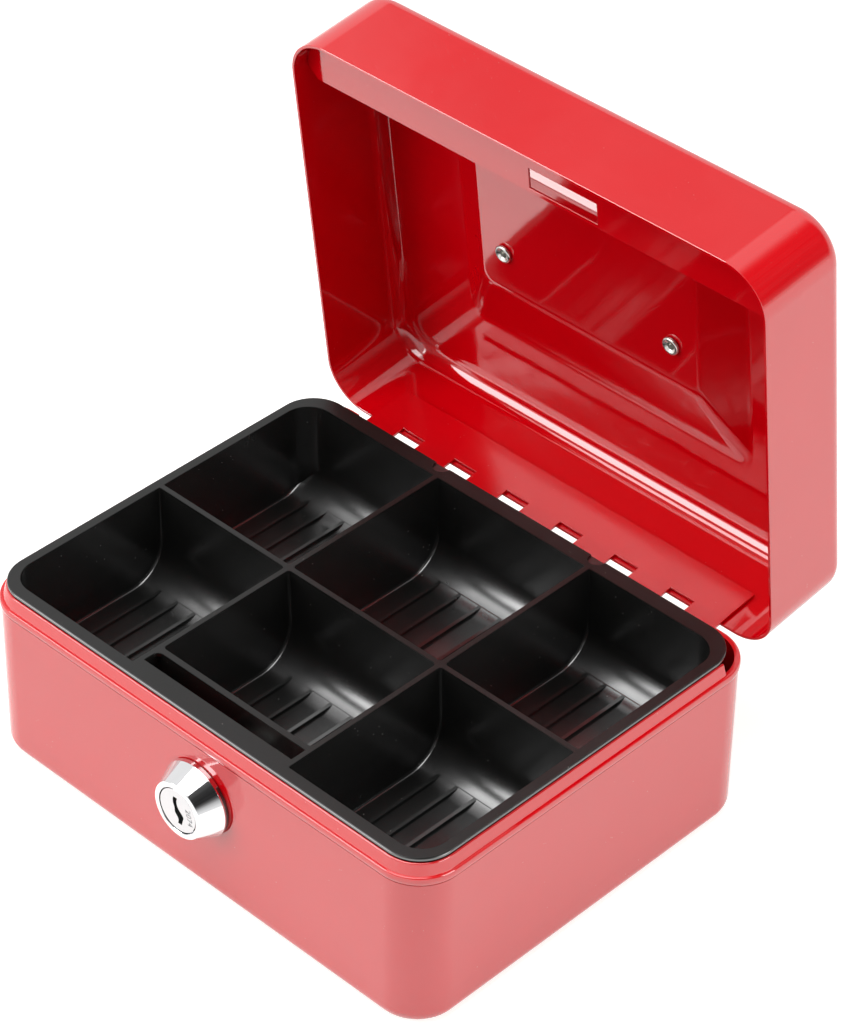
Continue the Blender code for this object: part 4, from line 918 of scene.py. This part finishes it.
# %% Handle
HANDLE_ROD = 1.8 * MM
HANDLE_WIDTH = 66.0 * MM
HANDLE_REACH = 27.0 * MM
HANDLE_BEND = 5.0 * MM
HANDLE_END_BEND = 2.3 * MM
HANDLE_END_ROUND = 0.5 * MM
HANDLE_Y = 4.3 * MM
BRACKET_SHEET = 0.7 * MM
BRACKET_WIDTH = 5.0 * MM
BRACKET_PLAY = 0.2 * MM
BRACKET_ROLL_DEG = 270
RIVET_HEAD_RADIUS = 2.6 * MM
RIVET_HEAD = 0.9 * MM
RIVET_BORE = 1.1 * MM
RIVET_BULGE = 0.8 * MM
RIVET_ROLL = 0.5 * MM
RIVET_STEPS = 64
SADDLE_SOFT = 0.12 * MM
BAIL_SHARP_DEG = 60
HANDLE_Z = RECESS_Z + GAP + BRACKET_SHEET + BRACKET_PLAY + HANDLE_ROD


def handle_path():
    """Half the rod from its turned-in end to the grip, then its mirror image, with fine steps at the ends."""
    leg, end = HANDLE_WIDTH / 2, RIVET_X - BRACKET_WIDTH / 2 - BRACKET_SHEET
    ease = np.radians(np.linspace(0, 90, 7))
    tip = np.column_stack([end + HANDLE_END_ROUND * (1 - np.cos(ease)), np.zeros(len(ease))])
    bend_in = arc((leg - HANDLE_END_BEND, -HANDLE_END_BEND), HANDLE_END_BEND, 90, 0, 14)
    bend_out = arc((leg - HANDLE_BEND, HANDLE_BEND - HANDLE_REACH), HANDLE_BEND, 0, -90, 20)
    half = np.vstack([tip, bend_in, bend_out])
    shrink = HANDLE_END_ROUND * (1 - np.sin(ease))
    radius = np.full(2 * len(half), HANDLE_ROD)
    radius[:len(ease)] -= shrink
    radius[-len(ease):] -= shrink[::-1]
    return np.vstack([half, half[::-1] * (-1, 1)]), radius


bail = swept("handle", *handle_path())
bail.data.transform(TO_REST @ Matrix.Translation((0, HANDLE_Y, HANDLE_Z)))
dress(bail, "handle_bail", angle=BAIL_SHARP_DEG)


def rivet_profile():
    """A domed head (quarter ellipse), the shank, and the hollow end rolled over inside the lid."""
    top = RECESS_Z + 2 * GAP + BRACKET_SHEET
    inside = RECESS_Z - SHEET - GAP
    roll_z = inside - 0.7 * RIVET_ROLL
    head = arc((0, 0), 1.0, 90, 0, 14) * (RIVET_HEAD_RADIUS, RIVET_HEAD) + (0, top)
    rolled_end = arc((RIVET_RADIUS + RIVET_BULGE - RIVET_ROLL, roll_z), RIVET_ROLL, 40, -120, 16)
    bore = [(RIVET_BORE, roll_z), (RIVET_BORE * 0.9, RECESS_Z), (0, RECESS_Z + SHEET / 2)]
    return np.vstack([head, [(RIVET_RADIUS, top), (RIVET_RADIUS, inside)], rolled_end, bore])


for name, side in (("left", -1), ("right", 1)):
    middle = side * RIVET_X
    foot = HANDLE_Y - RIVET_Y + RIVET_HEAD_RADIUS + 2 * BRACKET_SHEET
    strip = rolled(foot, HANDLE_ROD + BRACKET_PLAY, BRACKET_SHEET, BRACKET_ROLL_DEG)
    strip = strip[:, ::-1] + (HANDLE_Y, HANDLE_Z)
    saddle = prism(f"saddle_{name}", strip, "X", middle - BRACKET_WIDTH / 2, middle + BRACKET_WIDTH / 2)
    cut(saddle, rivet_hole(side, RECESS_Z, HANDLE_Z - HANDLE_ROD))
    saddle.data.transform(TO_REST)
    dress(saddle, f"handle_bracket_{name}", soften=SADDLE_SOFT, angle=SOFT_DEG)
    rivet = turned(f"rivet_{name}", rivet_profile(), (middle, RIVET_Y, 0), "Z", RIVET_STEPS)
    rivet.data.transform(TO_REST)
    dress(rivet, f"handle_rivet_{name}")

# %% [markdown]
# The coin tray is one black moulding that hangs by its rim on the lip. Six compartments have flat ribbed
# floors that sweep up to their back walls, so that coins slide out under a finger. The middle front one is
# short and leaves a bay and a slot for the lock's cam, and two shallow notches in the back rim give a finger
# hold. A moulder makes such a tray between two halves of a mould, and it is built the same way here: an outer
# body less six scoop-shaped cores. The cores lean, as drafted walls do, and a Bevel on each makes the fillets
# between walls and floor. A last Bevel rounds all the edges that two cuts leave sharp.

# %% Coin tray
TRAY_SKIN = 1.2 * MM
TRAY_RIM = 1.1 * MM
TRAY_PLAY = 1.1 * MM
TRAY_DEPTH = 27.0 * MM
TRAY_SIDE_RIM = 2.4 * MM
TRAY_FRONT_RIM = 3.1 * MM
TRAY_BACK_RIM = 4.3 * MM
TRAY_RADIUS = 10.2 * MM
DRAFT = math.tan(math.radians(1.2))
NOTCH_X = 26.7 * MM
NOTCH_RADIUS = 2.4 * MM
NOTCH_DEPTH = 3.0 * MM
NOTCH_SINK = 0.7 * MM
SCOOP_RADIUS = 11.3 * MM
DIVIDER = 1.4 * MM
DIVIDER_XS = (-24.9 * MM, 27.1 * MM)
DIVIDER_Y = -2.2 * MM
SLOT_Y = -51.35 * MM
BAY_BACK_Y = -46.75 * MM
BAY_WALL = 1.65 * MM
SLOT_RADIUS = 2.0 * MM
# right end, front, back and height of the room that the hook needs while it turns
HOOK_SWING = (28.5 * MM, -52.0 * MM, -47.2 * MM, 43.0 * MM)
FLOOR_RIBS = 6
RIB_WIDTH = 1.0 * MM
RIB_HEIGHT = 0.9 * MM
RIB_OVERRUN = 1.2
CORNER_FILLET = 0.9 * MM
TRAY_SOFT = 0.22 * MM
TRAY_SOFT_DEG = 40
MOULD_STEPS = 3
(tray_left, tray_front, _), (tray_right, tray_back, tray_top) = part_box("coin_tray")
floor_z = tray_top - TRAY_DEPTH
under_z = floor_z - TRAY_SKIN
lean = DRAFT * TRAY_DEPTH


def tray_ring(inset, z, front_extra=0.0, back_extra=0.0):
    """The rim's outline moved inwards; the front and back edges can move by more."""
    front, back = tray_front + inset + front_extra, tray_back - inset - back_extra
    middle = ((tray_left + tray_right) / 2, (front + back) / 2)
    return level(rounded(tray_right - tray_left - 2 * inset, back - front, TRAY_RADIUS - inset, middle), z)


def tray_body():
    """A slab whose underside follows both rows of scoops, kept inside the leaning sides, plus the flat rim."""
    front, middle, back = tray_front, DIVIDER_Y - DIVIDER / 2, tray_back - TRAY_BACK_RIM
    skin, centre_z = SCOOP_RADIUS + TRAY_SKIN, floor_z + SCOOP_RADIUS
    apex = math.degrees(math.acos(SCOOP_RADIUS / skin))
    half_rim = tray_top - TRAY_RIM / 2
    under = np.vstack([[(front, under_z)], arc((middle - SCOOP_RADIUS, centre_z), skin, 270, 360 - apex, 24),
                       [(middle, under_z)], arc((back - SCOOP_RADIUS, centre_z), skin, 270, 360, 28),
                       [(back + TRAY_SKIN, half_rim), (front, half_rim)]])
    body = prism("coin_tray_moulding", under, "X", -CASE_WIDTH / 2, CASE_WIDTH / 2)
    sides = [tray_ring(TRAY_PLAY + lean, under_z - TRAY_RIM), tray_ring(TRAY_PLAY, tray_top)]
    cut(body, solid("sides", sides), "INTERSECT")
    edge, rim_z = TRAY_RIM / 4, tray_top - TRAY_RIM
    rim = [(edge, rim_z), (0, rim_z + edge), (0, tray_top - edge), (edge, tray_top)]
    return cut(body, solid("rim", [tray_ring(inset, z) for inset, z in rim]), "UNION")


def core(left, right, front, back):
    """One compartment's core: front wall, floor, quarter-round scoop and back wall, pushed out sideways; its
    sides then lean inwards by the draft for each step down."""
    scoop = arc((back - SCOOP_RADIUS, floor_z + SCOOP_RADIUS), SCOOP_RADIUS, 270, 360, 40)
    above = tray_top + TRAY_RIM
    side = np.vstack([[(front, above), (front + lean, floor_z)], scoop, [(back, above)]])
    rings = np.stack([level(side, x)[:, [2, 0, 1]] for x in (left, right)])
    rings[..., 0] += DRAFT * (tray_top - rings[..., 2]) * np.array([1, -1])[:, None]
    made = solid("core", rings)
    edge = made.modifiers.new("fillets", "BEVEL")
    edge.width = CORNER_FILLET
    edge.segments = MOULD_STEPS
    edge.limit_method = "ANGLE"
    extra = (TRAY_FRONT_RIM - TRAY_SIDE_RIM, TRAY_BACK_RIM - TRAY_SIDE_RIM)
    inner = [tray_ring(TRAY_SIDE_RIM + lean, under_z, *extra), tray_ring(TRAY_SIDE_RIM, 2 * tray_top, *extra)]
    return cut(made, solid("corners", inner), "INTERSECT")


def ribs(left, right, front, back):
    """Low ribs along one floor, evenly spread, as one body of several bars that run out in the rising scoop."""
    run_out = RIB_OVERRUN * math.sqrt(2 * SCOOP_RADIUS * RIB_HEIGHT)
    start, end = front + lean + 2 * RIB_WIDTH, back - SCOOP_RADIUS + run_out
    bars = bmesh.new()
    for x in np.linspace(left + lean, right - lean, FLOOR_RIBS + 2)[1:-1]:
        bar = block("rib", (x - RIB_WIDTH / 2, start, floor_z - RIB_HEIGHT / 2),
                    (x + RIB_WIDTH / 2, end, floor_z + RIB_HEIGHT))
        bars.from_mesh(bar.data)
        bpy.data.objects.remove(bar)
    mesh = bpy.data.meshes.new("ribs")
    bars.to_mesh(mesh)
    bars.free()
    return placed("ribs", mesh)


edges = [x + s * DIVIDER / 2 for x in DIVIDER_XS for s in (-1, 1)]
edges = [tray_left + TRAY_SIDE_RIM] + edges + [tray_right - TRAY_SIDE_RIM]
rows = [(tray_front + TRAY_FRONT_RIM, DIVIDER_Y - DIVIDER / 2),
        (DIVIDER_Y + DIVIDER / 2, tray_back - TRAY_BACK_RIM)]
tray = tray_body()
for column, (left, right) in enumerate(zip(edges[0::2], edges[1::2])):
    for row, (front, back) in enumerate(rows):
        front = BAY_BACK_Y + BAY_WALL if (column, row) == (1, 0) else front
        cut(tray, core(left, right, front, back))
        cut(tray, ribs(left, right, front, back), "UNION")
bay_left, bay_right = edges[2], edges[3]
bay_high = (bay_right, BAY_BACK_Y, tray_top - TRAY_RIM)
cut(tray, block("bay", (bay_left, -CASE_DEPTH, under_z - TRAY_RIM), bay_high))
swing_right, swing_front, swing_back, swing_top = HOOK_SWING
cut(tray, block("hook_swing", (LOCK_X, swing_front, under_z - TRAY_RIM), (swing_right, swing_back, swing_top)))
slot_corner = arc((bay_left + SLOT_RADIUS, BAY_BACK_Y - SLOT_RADIUS), SLOT_RADIUS, 90, 180, 14)
slot = np.vstack([[(bay_left, SLOT_Y), (bay_right, SLOT_Y), (bay_right, BAY_BACK_Y)], slot_corner])
cut(tray, prism("slot", slot, "Z", under_z, 2 * tray_top))
for side in (-1, 1):
    centre = (side * NOTCH_X, tray_back - NOTCH_DEPTH + NOTCH_RADIUS)
    notch = arc(centre, NOTCH_RADIUS, 180, 360, 28)
    ends = [(notch[-1][0], 2 * tray_back), (notch[0][0], 2 * tray_back)]
    cut(tray, prism("notch", np.vstack([notch, ends]), "Z", tray_top - NOTCH_SINK, 2 * tray_top))
dress(tray, "coin_tray", soften=TRAY_SOFT, segments=MOULD_STEPS, angle=TRAY_SOFT_DEG)
